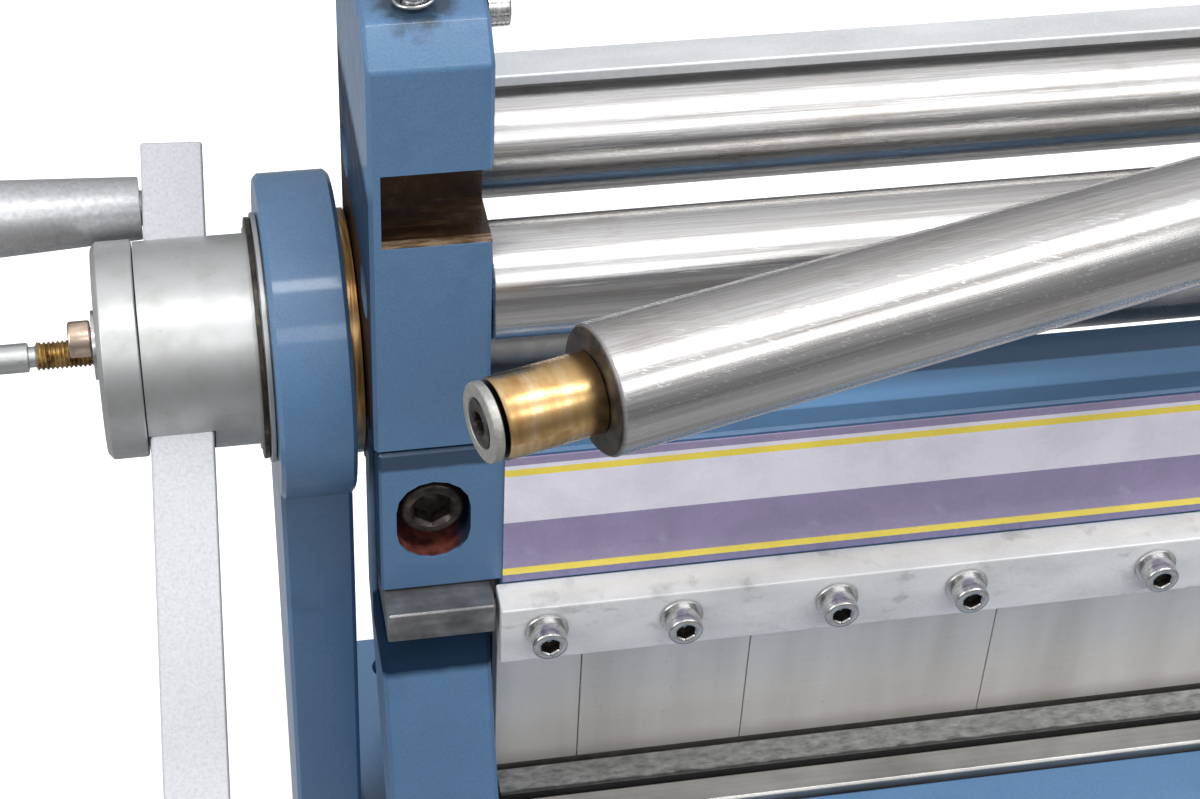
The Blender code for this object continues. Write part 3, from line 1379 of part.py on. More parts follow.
def back_gauge():
    """Two rods behind the table and the stop bar that slides on them."""
    z = NOTCH_Z - GAUGE_ROD_DROP
    y_low = FACE_Y + TABLE_BACK - 0.014
    y_high = FACE_Y + TABLE_BACK + GAUGE_ROD_LENGTH
    xs = [side * (INNER_X - GAUGE_ROD_INSET) for side in (-1, 1)]
    rods = [make("gauge_rod", rod((x, y_low, z), (x, y_high, z), GAUGE_ROD_DIAMETER, 20, 0.0008)) for x in xs]
    tie = rod((xs[0], y_high - 0.01, z), (xs[1], y_high - 0.01, z), GAUGE_ROD_DIAMETER * 0.8, 16)
    frame = make("back_gauge_rods", tie, STEEL)
    join(frame, *rods)
    bar = make(
        "back_gauge_bar",
        block(
            (-INNER_X + 0.012, FACE_Y + GAUGE_BAR_BACK, NOTCH_Z - GAUGE_BAR_BOTTOM_DROP),
            (INNER_X - 0.012, FACE_Y + GAUGE_BAR_BACK + GAUGE_BAR_THICKNESS, NOTCH_Z - GAUGE_BAR_TOP_DROP),
        ),
        ZINC,
    )
    round_edges(bar, 0.0008, 1)
    for x in xs:
        ends = (
            (x, FACE_Y + GAUGE_BAR_BACK - 0.002, z),
            (x, FACE_Y + GAUGE_BAR_BACK + GAUGE_BAR_THICKNESS + 0.002, z),
        )
        cut(bar, make("gauge_bore", rod(*ends, GAUGE_ROD_DIAMETER + 2 * RUNNING)))


def main():
    clear_scene()
    for side, word in ((-1, "left"), (1, "right")):
        bracket(side, word)
        stop_pad(side, word)
        side_frame(side, word)
        eccentric(side, word)
        link(side, word)
    ram()
    name_strip()
    press_brake()
    shear()
    table()
    frame_fasteners()
    rolls()
    top_roll()
    swivel_block()
    crank()
    cross_shaft()
    hub_trim()
    lever()
    bracket_screws()
    stay()
    back_gauge()


main()
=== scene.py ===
"""Looks of the bench sheet metal machine: finishes, rounded castings, turned parts and studio."""

from __future__ import annotations

import json
import logging
import math
from dataclasses import dataclass, field
from enum import Enum
from typing import Iterable, NamedTuple, Sequence

import bmesh
import bpy
from mathutils import Matrix, Vector

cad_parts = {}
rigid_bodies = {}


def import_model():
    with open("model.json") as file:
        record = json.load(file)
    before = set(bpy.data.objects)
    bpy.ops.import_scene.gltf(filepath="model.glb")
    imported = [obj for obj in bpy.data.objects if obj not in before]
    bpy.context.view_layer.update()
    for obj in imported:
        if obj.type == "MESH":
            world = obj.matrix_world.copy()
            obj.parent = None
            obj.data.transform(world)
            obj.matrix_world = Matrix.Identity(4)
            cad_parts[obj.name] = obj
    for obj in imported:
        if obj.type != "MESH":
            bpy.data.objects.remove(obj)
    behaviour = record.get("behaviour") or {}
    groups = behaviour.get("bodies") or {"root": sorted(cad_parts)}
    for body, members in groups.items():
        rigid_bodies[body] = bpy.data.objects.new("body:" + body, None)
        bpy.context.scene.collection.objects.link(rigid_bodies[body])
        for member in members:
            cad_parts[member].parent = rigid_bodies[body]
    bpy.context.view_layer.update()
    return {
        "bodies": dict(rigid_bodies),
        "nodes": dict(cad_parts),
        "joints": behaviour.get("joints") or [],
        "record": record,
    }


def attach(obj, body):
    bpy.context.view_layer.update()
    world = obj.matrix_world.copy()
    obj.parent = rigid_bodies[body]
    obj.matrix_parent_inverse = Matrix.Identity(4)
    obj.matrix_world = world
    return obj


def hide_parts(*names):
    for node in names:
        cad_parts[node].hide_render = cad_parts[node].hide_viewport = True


log = logging.getLogger("machine")

Socket = bpy.types.NodeSocket
Solid = bmesh.types.BMesh
Colour = tuple[float, float, float]
Stops = Sequence[tuple[float, object]]
Span = tuple[float | None, float | None]
OPEN: Span = (None, None)

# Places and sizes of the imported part, in metres: the bracket's front face, the roof of its open notch, its
# inner and outer sides, the hub's middle, and the guide screws and clamp screws of the ram
FACE_Y = 0.041
NOTCH_Z = 0.345
INNER_X = 0.15525
OUTER_X = 0.18625
HUB = Vector((0, FACE_Y + 0.052, NOTCH_Z - 0.0902))
BLOCK_X = OUTER_X - 0.0158
SLOT_Z = NOTCH_Z - 0.1171
CLAMP_SCREW_Z = NOTCH_Z - 0.1524
CLAMP_SCREWS = tuple(place - 0.1524 for place in (0.0122, 0.0510, 0.0966, 0.1354, 0.1932, 0.2646))
CLAMP_DEPTH = 0.0114
# The clearance that the solids leave between fixed pieces, and the one beside each roll
FIT = 0.0003
ROLL_PLAY = 0.0005
# The rolls, each axis as (y, z), and the hinge and direction of the top one
ROLL_RADIUS = 0.01575
BUSH_LENGTH = 0.0240
LOWER_AXIS = (FACE_Y + 0.017, NOTCH_Z - 0.0483)
REAR_AXIS = (FACE_Y + 0.060, NOTCH_Z - 0.0343)
PIVOT = Vector((OUTER_X - 0.0205, FACE_Y + 0.0096, NOTCH_Z - 0.0105))
SWING = math.radians(14.9)
TOP_AXIS = Matrix.Rotation(SWING, 3, "Z") @ Vector((-1, 0, 0))
# The lever's angles and thickness, and distances out from the bracket along the hub
LEVER_LEAN = math.radians(2.84)
LEVER_FALL = math.radians(33.0)
LEVER_OUT = 0.0482
LEVER_HALF = 0.0086
HUB_END = 0.0701
HUB_PLATE = 0.0011
HANDLE_OUT = 0.041
LOCK_NECK = 0.0868
# Foot of the spring over the left notch, and its height
LATCH = Vector((-(OUTER_X - 0.0137), FACE_Y + 0.016, 0.3837))
SPRING_HEIGHT = 0.015
# The crank arm's outer face and its length between centres
CRANK_X = OUTER_X + 0.050
CRANK_RADIUS = 0.092

# The photograph's camera
CAMERA_PLACE = (-0.235622, FACE_Y - 0.488894, 0.705212)
CAMERA_TURN = (0.851046, -0.041377, -0.184755)
CAMERA_LENS = 75.0

# Places of the Mix node's factor, its two colours and its colour output
MIX_COLOUR_INPUTS = (0, 6, 7)
MIX_COLOUR_OUTPUT = 2
# Clear coat of the enamel, on clean castings and on the oily ones, and Blender's usual specular level
FULL_COAT = 0.45
THIN_COAT = 0.3
SPECULAR = 0.5
# Straight pieces in the rounding of a profile's corner, and the most that it takes of a side
CORNER_STEPS = 2
CORNER_SHARE = 0.45
# Radii closer than this count as the same
SAME = 1e-6
# Rings in one pitch of a thread, and distance between the rings of a knurl
THREAD_RINGS = 8
KNURL_STEP = 0.0006
# Vertices of the copied solids closer than this are one, and faces closer in angle than this are flat
WELD = 2e-6
FLAT = math.radians(0.5)
# Edges shorter than this share of the rounding stay sharp
SHORTEST = 0.6
# A six-sided ring that meets a round one narrower than this ends a socket's floor
SOCKET_FLOOR = 0.0018


class Axis(Enum):
    """Directions that turned pieces run along."""

    LEFT = (-1.0, 0.0, 0.0)
    RIGHT = (1.0, 0.0, 0.0)
    BACK = (0.0, 1.0, 0.0)
    UP = (0.0, 0.0, 1.0)


@dataclass(frozen=True)
class Ring:
    """One ring of a turned piece: distance along its axis, and radius.

    hexagon makes the ring six-sided, with radius as half the width across flats.
    """

    along: float
    radius: float
    hexagon: bool = False


@dataclass(frozen=True)
class Thread:
    """A screw thread cut into a turned piece between two distances."""

    low: float
    high: float
    pitch: float
    depth: float


@dataclass(frozen=True)
class Knurl:
    """A crossed knurl pressed into a turned piece between two distances."""

    low: float
    high: float
    count: int
    depth: float


def filleted(points: Sequence[tuple[float, float]], width: float) -> list[Ring]:
    """Rounds the corners of a turning profile.

    Args:
        points: (along, radius) corners of the profile.
        width: length taken off each side of a corner.

    Returns:
        The rings of the rounded profile.
    """
    rings = [Ring(*points[0])]
    for before, here, after in zip(points, points[1:], points[2:]):
        a, b, c = Vector(before), Vector(here), Vector(after)
        reach = min(width, (a - b).length * CORNER_SHARE, (c - b).length * CORNER_SHARE)
        start = b + (a - b).normalized() * reach
        end = b + (c - b).normalized() * reach
        for step in range(CORNER_STEPS + 1):
            share = step / CORNER_STEPS
            point = start.lerp(b, share).lerp(b.lerp(end, share), share)
            rings.append(Ring(point.x, point.y))
    rings.append(Ring(*points[-1]))
    return rings


def ring_point(ring: Ring, angle: float) -> tuple[float, float]:
    """Place of a ring's point across the axis.

    Args:
        ring: the ring.
        angle: angle round the axis.

    Returns:
        The two distances across the axis.
    """
    radius = ring.radius
    if ring.hexagon:
        turn = (angle + math.pi / 6) % (math.pi / 3) - math.pi / 6
        radius = ring.radius / math.cos(turn)
    return radius * math.cos(angle), radius * math.sin(angle)


def in_socket(one: Ring, two: Ring) -> bool:
    """Tells whether the faces between two rings lie inside a hexagon socket.

    Args:
        one: a ring.
        two: the ring after it.

    Returns:
        True for the walls and the floor of a socket.
    """
    if one.hexagon and two.hexagon:
        return True
    return one.hexagon != two.hexagon and min(one.radius, two.radius) < SOCKET_FLOOR


def skin(shape: Solid, one: list, two: list) -> list[bmesh.types.BMFace]:
    """Joins two closed rows of vertices with a band of faces.

    Args:
        shape: the mesh that gets the faces.
        one: the first row.
        two: the second row.

    Returns:
        The faces, in the order of the rows.
    """
    corners = zip(one, one[1:] + one[:1], two[1:] + two[:1], two)
    return [shape.faces.new(corner) for corner in corners]


def turned(
    rings: Sequence[Ring],
    start: Vector | Sequence[float],
    direction: Vector | Sequence[float],
    segments: int = 96,
    thread: Thread | None = None,
    knurl: Knurl | None = None,
    closed: bool = False,
) -> Solid:
    """Turns a profile round an axis, with a UV map of distance along and share round.

    Args:
        rings: the profile.
        start: where distance 0 lies.
        direction: the way the axis runs.
        segments: faces round the axis.
        thread: a thread to cut.
        knurl: a knurl to press.
        closed: joins the last ring to the first, for hollow pieces.

    Returns:
        The solid.
    """
    rings = dense(rings, thread, knurl)
    turn = Vector(direction).to_track_quat("Z", "Y").to_matrix()
    shape = bmesh.new()
    uv = shape.loops.layers.uv.new("UVMap")
    loops: list[list[bmesh.types.BMVert]] = []
    for ring in rings:
        row = []
        for index in range(segments):
            angle = math.tau * index / segments
            cut = relief(ring, angle, thread, knurl)
            a, b = ring_point(Ring(ring.along, ring.radius - cut, ring.hexagon), angle)
            row.append(shape.verts.new(Vector(start) + turn @ Vector((a, b, ring.along))))
        loops.append(row)
    pairs = list(zip(range(len(loops) - 1), range(1, len(loops))))
    if closed:
        pairs.append((len(loops) - 1, 0))
    travel = [0.0]
    for one, two in zip(rings, rings[1:]):
        travel.append(travel[-1] + math.hypot(two.along - one.along, two.radius - one.radius))
    travel.append(travel[-1] + 0.001)
    for number, (low, high) in enumerate(pairs):
        finish = int(in_socket(rings[low], rings[high]))
        heights = (travel[number], travel[number], travel[number + 1], travel[number + 1])
        for index, face in enumerate(skin(shape, loops[low], loops[high])):
            shares = (index, index + 1, index + 1, index)
            for corner, share, height in zip(face.loops, shares, heights):
                corner[uv].uv = (height, share / segments)
            face.material_index = finish
    if not closed:
        shape.faces.new(list(reversed(loops[0])))
        shape.faces.new(loops[-1])
    bmesh.ops.recalc_face_normals(shape, faces=shape.faces)
    return shape


def dense(rings: Sequence[Ring], thread: Thread | None, knurl: Knurl | None) -> list[Ring]:
    """Adds the rings that a thread or knurl needs.

    Args:
        rings: the plain profile.
        thread: a thread, or nothing.
        knurl: a knurl, or nothing.

    Returns:
        The profile with more rings.
    """
    extra: list[Ring] = []
    for cut, step in ((thread, thread.pitch / THREAD_RINGS if thread else 0), (knurl, KNURL_STEP)):
        if cut is None:
            continue
        for one, two in zip(rings, rings[1:]):
            low, high = max(one.along, cut.low), min(two.along, cut.high)
            if abs(one.radius - two.radius) > SAME or high - low < step:
                continue
            count = int((high - low) / step)
            extra += [Ring(low + (high - low) * i / count, one.radius) for i in range(1, count)]
    if not extra:
        return list(rings)
    result = list(rings)
    for ring in extra:
        for index, (one, two) in enumerate(zip(result, result[1:])):
            if one.along < ring.along < two.along and abs(one.radius - two.radius) < SAME:
                result.insert(index + 1, ring)
                break
    return result


def relief(ring: Ring, angle: float, thread: Thread | None, knurl: Knurl | None) -> float:
    """Depth cut out of a ring at an angle by a thread or a knurl.

    Args:
        ring: the ring.
        angle: angle round the axis.
        thread: a thread, or nothing.
        knurl: a knurl, or nothing.

    Returns:
        The depth in metres.
    """
    if thread and thread.low < ring.along < thread.high:
        phase = (ring.along / thread.pitch - angle / math.tau) % 1
        return thread.depth * abs(2 * phase - 1)
    if knurl and knurl.low < ring.along < knurl.high:
        pitch = math.tau * ring.radius / knurl.count
        one = math.sin(knurl.count * angle + math.tau * ring.along / pitch)
        two = math.sin(knurl.count * angle - math.tau * ring.along / pitch)
        return knurl.depth * max(one, two, 0)
    return 0.0


def socket_head(
    head: float, height: float, across: float, depth: float, shank: float, length: float
) -> list[Ring]:
    """Profile of a socket cap screw whose seat is at distance 0 and whose shank runs forward.

    Args:
        head: head diameter.
        height: head height.
        across: width across the flats of the socket.
        depth: depth of the socket.
        shank: shank diameter.
        length: shank length.

    Returns:
        The rings, from the bottom of the socket round the head to the shank's end.
    """
    top, rim = -height, head / 2
    ease = height * 0.09
    mouth = across * 0.60
    return [
        Ring(top + depth, across * 0.16), Ring(top + depth - across * 0.08, across / 2, True),
        Ring(top + across * 0.12, across / 2, True), Ring(top + across * 0.10, across / 2 * 1.03, True),
        Ring(top + across * 0.02, mouth), Ring(top, mouth + 0.0002), Ring(top, rim - ease * 1.4),
        Ring(top + ease * 0.25, rim - ease * 0.6), Ring(top + ease * 0.7, rim - ease * 0.15),
        Ring(top + ease * 1.5, rim), Ring(-0.0004, rim), Ring(0.0, rim - 0.0004),
        Ring(0.0, shank / 2 + 0.0001), Ring(0.0002, shank / 2), Ring(length - 0.0005, shank / 2),
        Ring(length, shank / 2 - 0.0005),
    ]


def small_head(length: float) -> list[Ring]:
    """Profile of one of the M6 cap screws, which differ only in length.

    Args:
        length: shank length.

    Returns:
        The rings.
    """
    return socket_head(0.010, 0.006, 0.005, 0.003, 0.006, length)


def rings_of(points: Sequence[tuple[float, float]]) -> list[Ring]:
    """Round rings of a profile with sharp corners.

    Args:
        points: (along, radius) corners of the profile.

    Returns:
        The rings.
    """
    return [Ring(*point) for point in points]


def new_object(name: str, data: bpy.types.ID) -> bpy.types.Object:
    """Makes an object and puts it in the scene.

    Args:
        name: the object's name.
        data: its mesh, light or camera.

    Returns:
        The object.
    """
    made = bpy.data.objects.new(name, data)
    bpy.context.scene.collection.objects.link(made)
    return made


def rgba(value: float | Sequence[float]) -> tuple[float, ...]:
    """Four channels of a grey or a colour.

    Args:
        value: the grey or the colour.

    Returns:
        Red, green, blue and an alpha of 1.
    """
    return (value, value, value, 1) if isinstance(value, (int, float)) else (*value, 1)


def fill_ramp(ramp: bpy.types.ColorRamp, stops: Stops) -> None:
    """Sets the stops of a ramp.

    Args:
        ramp: the ramp.
        stops: (place, grey or colour) stops.
    """
    while len(ramp.elements) < len(stops):
        ramp.elements.new(0.5)
    for element, (place, value) in zip(ramp.elements, stops):
        element.position = place
        element.color = rgba(value)


class Finish:
    """Builds one procedural material, node by node."""

    def __init__(self, name: str) -> None:
        """Starts a material.

        Args:
            name: the material's name.
        """
        self.material = bpy.data.materials.new(name)
        self.material.use_nodes = True
        self.tree = self.material.node_tree
        self.shader = self.tree.nodes["Principled BSDF"]
        self.place = self.tree.nodes.new("ShaderNodeTexCoord")
        self.noises: dict[tuple, Socket] = {}

    def node(self, kind: str, **values: object) -> bpy.types.Node:
        """Adds a node and sets its properties.

        Args:
            kind: node type.
            values: properties to set.

        Returns:
            The node.
        """
        made = self.tree.nodes.new(kind)
        for key, value in values.items():
            setattr(made, key, value)
        return made

    def link(self, start: Socket, end: Socket) -> None:
        """Joins two sockets.

        Args:
            start: the output.
            end: the input.
        """
        self.tree.links.new(start, end)

    def feed(self, socket: Socket, value: object) -> None:
        """Links an output to an input, or sets a plain value there.

        Args:
            socket: the input.
            value: number, colour or output.
        """
        if isinstance(value, Socket):
            self.link(value, socket)
        else:
            socket.default_value = rgba(value) if socket.type == "RGBA" else value

    def coordinates(self, stretch: Sequence[float] = (1, 1, 1), use_uv: bool = False) -> Socket:
        """Object or UV coordinates, stretched.

        Args:
            stretch: factor along each axis.
            use_uv: takes the UV map in place of the object's own space.

        Returns:
            The vector output.
        """
        mapping = self.node("ShaderNodeMapping")
        mapping.inputs["Scale"].default_value = stretch
        self.link(self.place.outputs["UV" if use_uv else "Object"], mapping.inputs["Vector"])
        return mapping.outputs["Vector"]

    def noise(
        self,
        scale: float,
        detail: float = 4.0,
        stretch: Sequence[float] = (1, 1, 1),
        use_uv: bool = False,
        rough: float = 0.55,
    ) -> Socket:
        """A noise pattern, made once for the same values.

        Args:
            scale: cells in a metre.
            detail: layers of finer noise.
            stretch: factor along each axis.
            use_uv: measured on the UV map.
            rough: strength of the finer layers.

        Returns:
            The factor output.
        """
        key = (scale, detail, tuple(stretch), use_uv, rough)
        if key not in self.noises:
            made = self.node("ShaderNodeTexNoise")
            for name, value in (("Scale", scale), ("Detail", detail), ("Roughness", rough)):
                made.inputs[name].default_value = value
            self.link(self.coordinates(stretch, use_uv), made.inputs["Vector"])
            self.noises[key] = made.outputs["Fac"]
        return self.noises[key]

    def ramp(self, value: Socket, stops: Stops, way: str = "LINEAR") -> Socket:
        """A colour or grey ramp.

        Args:
            value: what drives it.
            stops: (place, grey or colour) stops.
            way: how the ramp runs between its stops.

        Returns:
            The colour output.
        """
        made = self.node("ShaderNodeValToRGB")
        made.color_ramp.interpolation = way
        fill_ramp(made.color_ramp, stops)
        self.link(value, made.inputs["Fac"])
        return made.outputs["Color"]

    def math(self, operation: str, one: object, two: object = 0.0, clamp: bool = False) -> Socket:
        """A sum, product or comparison of two values.

        Args:
            operation: the Math node's operation.
            one: number or output.
            two: number or output.
            clamp: keeps the result from 0 to 1.

        Returns:
            The result.
        """
        made = self.node("ShaderNodeMath", operation=operation, use_clamp=clamp)
        for socket, value in zip(made.inputs, (one, two)):
            self.feed(socket, value)
        return made.outputs["Value"]

    def times(self, one: object, two: object) -> Socket:
        """A product of two values.

        Args:
            one: number or output.
            two: number or output.

        Returns:
            The result.
        """
        return self.math("MULTIPLY", one, two)

    def blend(self, factor: object, one: object, two: object, way: str = "MIX") -> Socket:
        """Mixes two colours.

        Args:
            factor: share of the second.
            one: colour or output.
            two: colour or output.
            way: the Mix node's blend type.

        Returns:
            The mixed colour.
        """
        made = self.node("ShaderNodeMix", data_type="RGBA", blend_type=way)
        for index, value in zip(MIX_COLOUR_INPUTS, (factor, one, two)):
            self.feed(made.inputs[index], value)
        return made.outputs[MIX_COLOUR_OUTPUT]

    def split(self, output: str) -> bpy.types.Node:
        """Splits a texture coordinate into X, Y and Z.

        Args:
            output: the coordinate's name.

        Returns:
            The splitting node.
        """
        made = self.node("ShaderNodeSeparateXYZ")
        self.link(self.place.outputs[output], made.inputs["Vector"])
        return made

    def vector(self, operation: str, one: Socket, two: Sequence[float]) -> bpy.types.Node:
        """A calculation with a vector.

        Args:
            operation: the Vector Math node's operation.
            one: the vector.
            two: a fixed vector.

        Returns:
            The node.
        """
        made = self.node("ShaderNodeVectorMath", operation=operation)
        self.link(one, made.inputs[0])
        made.inputs[1].default_value = two
        return made

    def inside(
        self, soft: float, ragged: float = 0.0, x: Span = OPEN, y: Span = OPEN, z: Span = OPEN
    ) -> Socket:
        """A mask that is 1 inside a box in the object's space.

        Args:
            soft: width of the fade at each side.
            ragged: how far a noise moves the sides.
            x: the box's sides along X, None where it is open.
            y: its sides along Y.
            z: its sides along Z.

        Returns:
            The mask.
        """
        split = self.split("Object")
        shift = 0.0
        if ragged:
            shift = self.times(self.math("SUBTRACT", self.noise(160, 5), 0.5), ragged)
        mask: object = 1.0
        for value, (low, high) in zip(split.outputs, (x, y, z)):
            for edge, sign in ((low, 1), (high, -1)):
                if edge is None:
                    continue
                far = self.times(self.math("SUBTRACT", value, edge), sign / soft)
                if ragged:
                    far = self.math("ADD", far, self.math("DIVIDE", shift, soft))
                step = self.math("ADD", far, 0.5, clamp=True)
                mask = step if isinstance(mask, float) else self.times(mask, step)
        return mask

    def facing(self, axis: int, sign: float, low: float = 0.6, high: float = 0.85) -> Socket:
        """A mask that is 1 on faces that look along an axis of the object.

        Args:
            axis: 0, 1 or 2 for X, Y or Z.
            sign: 1 or -1, the way along it.
            low: share of the normal along the axis where the mask starts.
            high: share where it is 1.

        Returns:
            The mask.
        """
        turned_to = self.times(self.split("Normal").outputs[axis], sign)
        return self.ramp(turned_to, [(low, 0.0), (high, 1.0)])

    def along_roll(self) -> Socket:
        """Distance from the top roll's shoulder along the roll, growing toward its free end.

        Returns:
            The distance in metres.
        """
        shoulder = PIVOT + TOP_AXIS * (PIVOT.x + INNER_X - ROLL_PLAY)
        away = self.vector("SUBTRACT", self.place.outputs["Object"], shoulder)
        return self.vector("DOT_PRODUCT", away.outputs["Vector"], TOP_AXIS).outputs["Value"]

    def spot(self, x: float, y: float, radius: float, soft: float) -> Socket:
        """A ragged round mask seen from above.

        Args:
            x: place of its middle.
            y: place of its middle.
            radius: where it has faded by half.
            soft: width of the fade.

        Returns:
            The mask.
        """
        away = self.vector("SUBTRACT", self.place.outputs["Object"], (x, y, 0))
        level = self.vector("MULTIPLY", away.outputs["Vector"], (1, 1, 0))
        reach = self.node("ShaderNodeVectorMath", operation="LENGTH")
        self.link(level.outputs["Vector"], reach.inputs[0])
        rough = self.times(self.math("SUBTRACT", self.noise(260, 6), 0.5), 0.009)
        gap = self.math("SUBTRACT", radius, self.math("ADD", reach.outputs["Value"], rough))
        return self.math("ADD", self.math("DIVIDE", gap, soft), 0.5, clamp=True)

    def set(self, colour: object, rough: object, metallic: object = 0.0) -> None:
        """Sets the shader's main inputs.

        Args:
            colour: colour or output.
            rough: number or output.
            metallic: number or output.
        """
        for name, value in (("Base Color", colour), ("Roughness", rough), ("Metallic", metallic)):
            self.feed(self.shader.inputs[name], value)

    def over(self, mask: object, tint: object, share: float = 1.0, name: str = "Base Color") -> None:
        """Lays a value over what one of the shader's inputs has so far.

        Args:
            mask: where it lies.
            tint: number, colour or output.
            share: how much of it shows where the mask is 1.
            name: the input.
        """
        socket = self.shader.inputs[name]
        factor = mask if share == 1.0 else self.times(mask, share)
        self.link(self.blend(factor, socket.links[0].from_socket, tint), socket)

    def fade(self, name: str, start: float, mask: object, drop: float) -> None:
        """Lowers one of the shader's plain inputs where a mask is 1.

        Args:
            name: the input.
            start: its value outside the mask.
            mask: where it is lower.
            drop: how much lower.
        """
        value = self.math("SUBTRACT", start, self.times(mask, drop))
        self.link(value, self.shader.inputs[name])

    def bump(self, *layers: tuple[Socket, float, float]) -> None:
        """Stacks bumps.

        Args:
            layers: (height, strength, distance in metres) of each bump.
        """
        last = None
        for height, strength, distance in layers:
            made = self.node("ShaderNodeBump")
            made.inputs["Strength"].default_value = strength
            made.inputs["Distance"].default_value = distance
            self.link(height, made.inputs["Height"])
            if last:
                self.link(last, made.inputs["Normal"])
            last = made.outputs["Normal"]
        self.link(last, self.shader.inputs["Normal"])

    def shared(self, group: bpy.types.NodeTree) -> bpy.types.Node:
        """Adds a shared node group fed with coordinates.

        Args:
            group: the group.

        Returns:
            The group node.
        """
        made = self.node("ShaderNodeGroup", node_tree=group)
        self.link(self.coordinates(), made.inputs["Vector"])
        return made


def scratch_group() -> bpy.types.NodeTree:
    """Makes the shared pattern of fine crossed scratches.

    Returns:
        The node group, with a Vector input and a Mask output.
    """
    tree = bpy.data.node_groups.new("fine_scratches", "ShaderNodeTree")
    tree.interface.new_socket("Vector", in_out="INPUT", socket_type="NodeSocketVector")
    tree.interface.new_socket("Mask", in_out="OUTPUT", socket_type="NodeSocketFloat")
    start = tree.nodes.new("NodeGroupInput")
    end = tree.nodes.new("NodeGroupOutput")
    least = 0.68
    total = None
    for angle, stretch in ((0.5, (14, 900, 600)), (-0.35, (20, 1100, 500)), (1.1, (12, 800, 700))):
        mapping = tree.nodes.new("ShaderNodeMapping")
        mapping.inputs["Rotation"].default_value = (0.3, angle * 0.7, angle)
        mapping.inputs["Scale"].default_value = stretch
        noise = tree.nodes.new("ShaderNodeTexNoise")
        noise.inputs["Scale"].default_value = 2.0
        noise.inputs["Detail"].default_value = 2.0
        fine = tree.nodes.new("ShaderNodeMath")
        fine.operation = "GREATER_THAN"
        fine.inputs[1].default_value = least
        tree.links.new(start.outputs["Vector"], mapping.inputs["Vector"])
        tree.links.new(mapping.outputs["Vector"], noise.inputs["Vector"])
        tree.links.new(noise.outputs["Fac"], fine.inputs[0])
        if total is None:
            total = fine.outputs[0]
            continue
        add = tree.nodes.new("ShaderNodeMath")
        add.operation = "MAXIMUM"
        tree.links.new(total, add.inputs[0])
        tree.links.new(fine.outputs[0], add.inputs[1])
        total = add.outputs[0]
    tree.links.new(total, end.inputs["Mask"])
    return tree


class Pattern(NamedTuple):
    """A noise: cells in a metre, layers, stretch along each axis, UV map or object space, roughness."""

    scale: float
    detail: float = 4.0
    stretch: tuple[float, float, float] = (1, 1, 1)
    use_uv: bool = False
    rough: float = 0.55


class Bump(NamedTuple):
    """A bump: its pattern, strength, and height in metres."""

    pattern: Pattern
    strength: float
    height: float


@dataclass(frozen=True)
class Recipe:
    """A finish made of patterns, each with its ramp.

    grain (share, pattern, stops) is overlaid on colour, and spots (pattern, stops, tint) lie over both.
    """

    colour: tuple[Pattern, Stops]
    rough: tuple[Pattern, Stops]
    metallic: float
    bumps: tuple[Bump, ...]
    grain: tuple[float, Pattern, Stops] | None = None
    spots: tuple[Pattern, Stops, Colour] | None = None


GALVANISED = Pattern(1100, 4, rough=0.7)
TURNING = Pattern(1.0, 3, (1500, 2.2, 1), True)
PLATE_LINES = Pattern(1.0, 3, (900, 5, 1), True)
RUBBED = Pattern(1.0, 5, (240, 2.5, 1), True)
CLAMP = Pattern(850, 5, rough=0.7)
GRIND = Pattern(1.0, 4, (60, 30, 1800))
PLANE = Pattern(1.0, 4, (25, 700, 700))
WIPE = Pattern(1.0, 5, (60, 500, 500))
MOTTLE = Pattern(420, 7, (0.45, 1, 1), rough=0.68)
STAIN = Pattern(110, 6)
PATCH = Pattern(220, 5)
OIL = Pattern(260, 6)
CLOUD = Pattern(34, 6, (1, 2, 2))
SMEAR = Pattern(1.0, 4, (52, 10, 6))

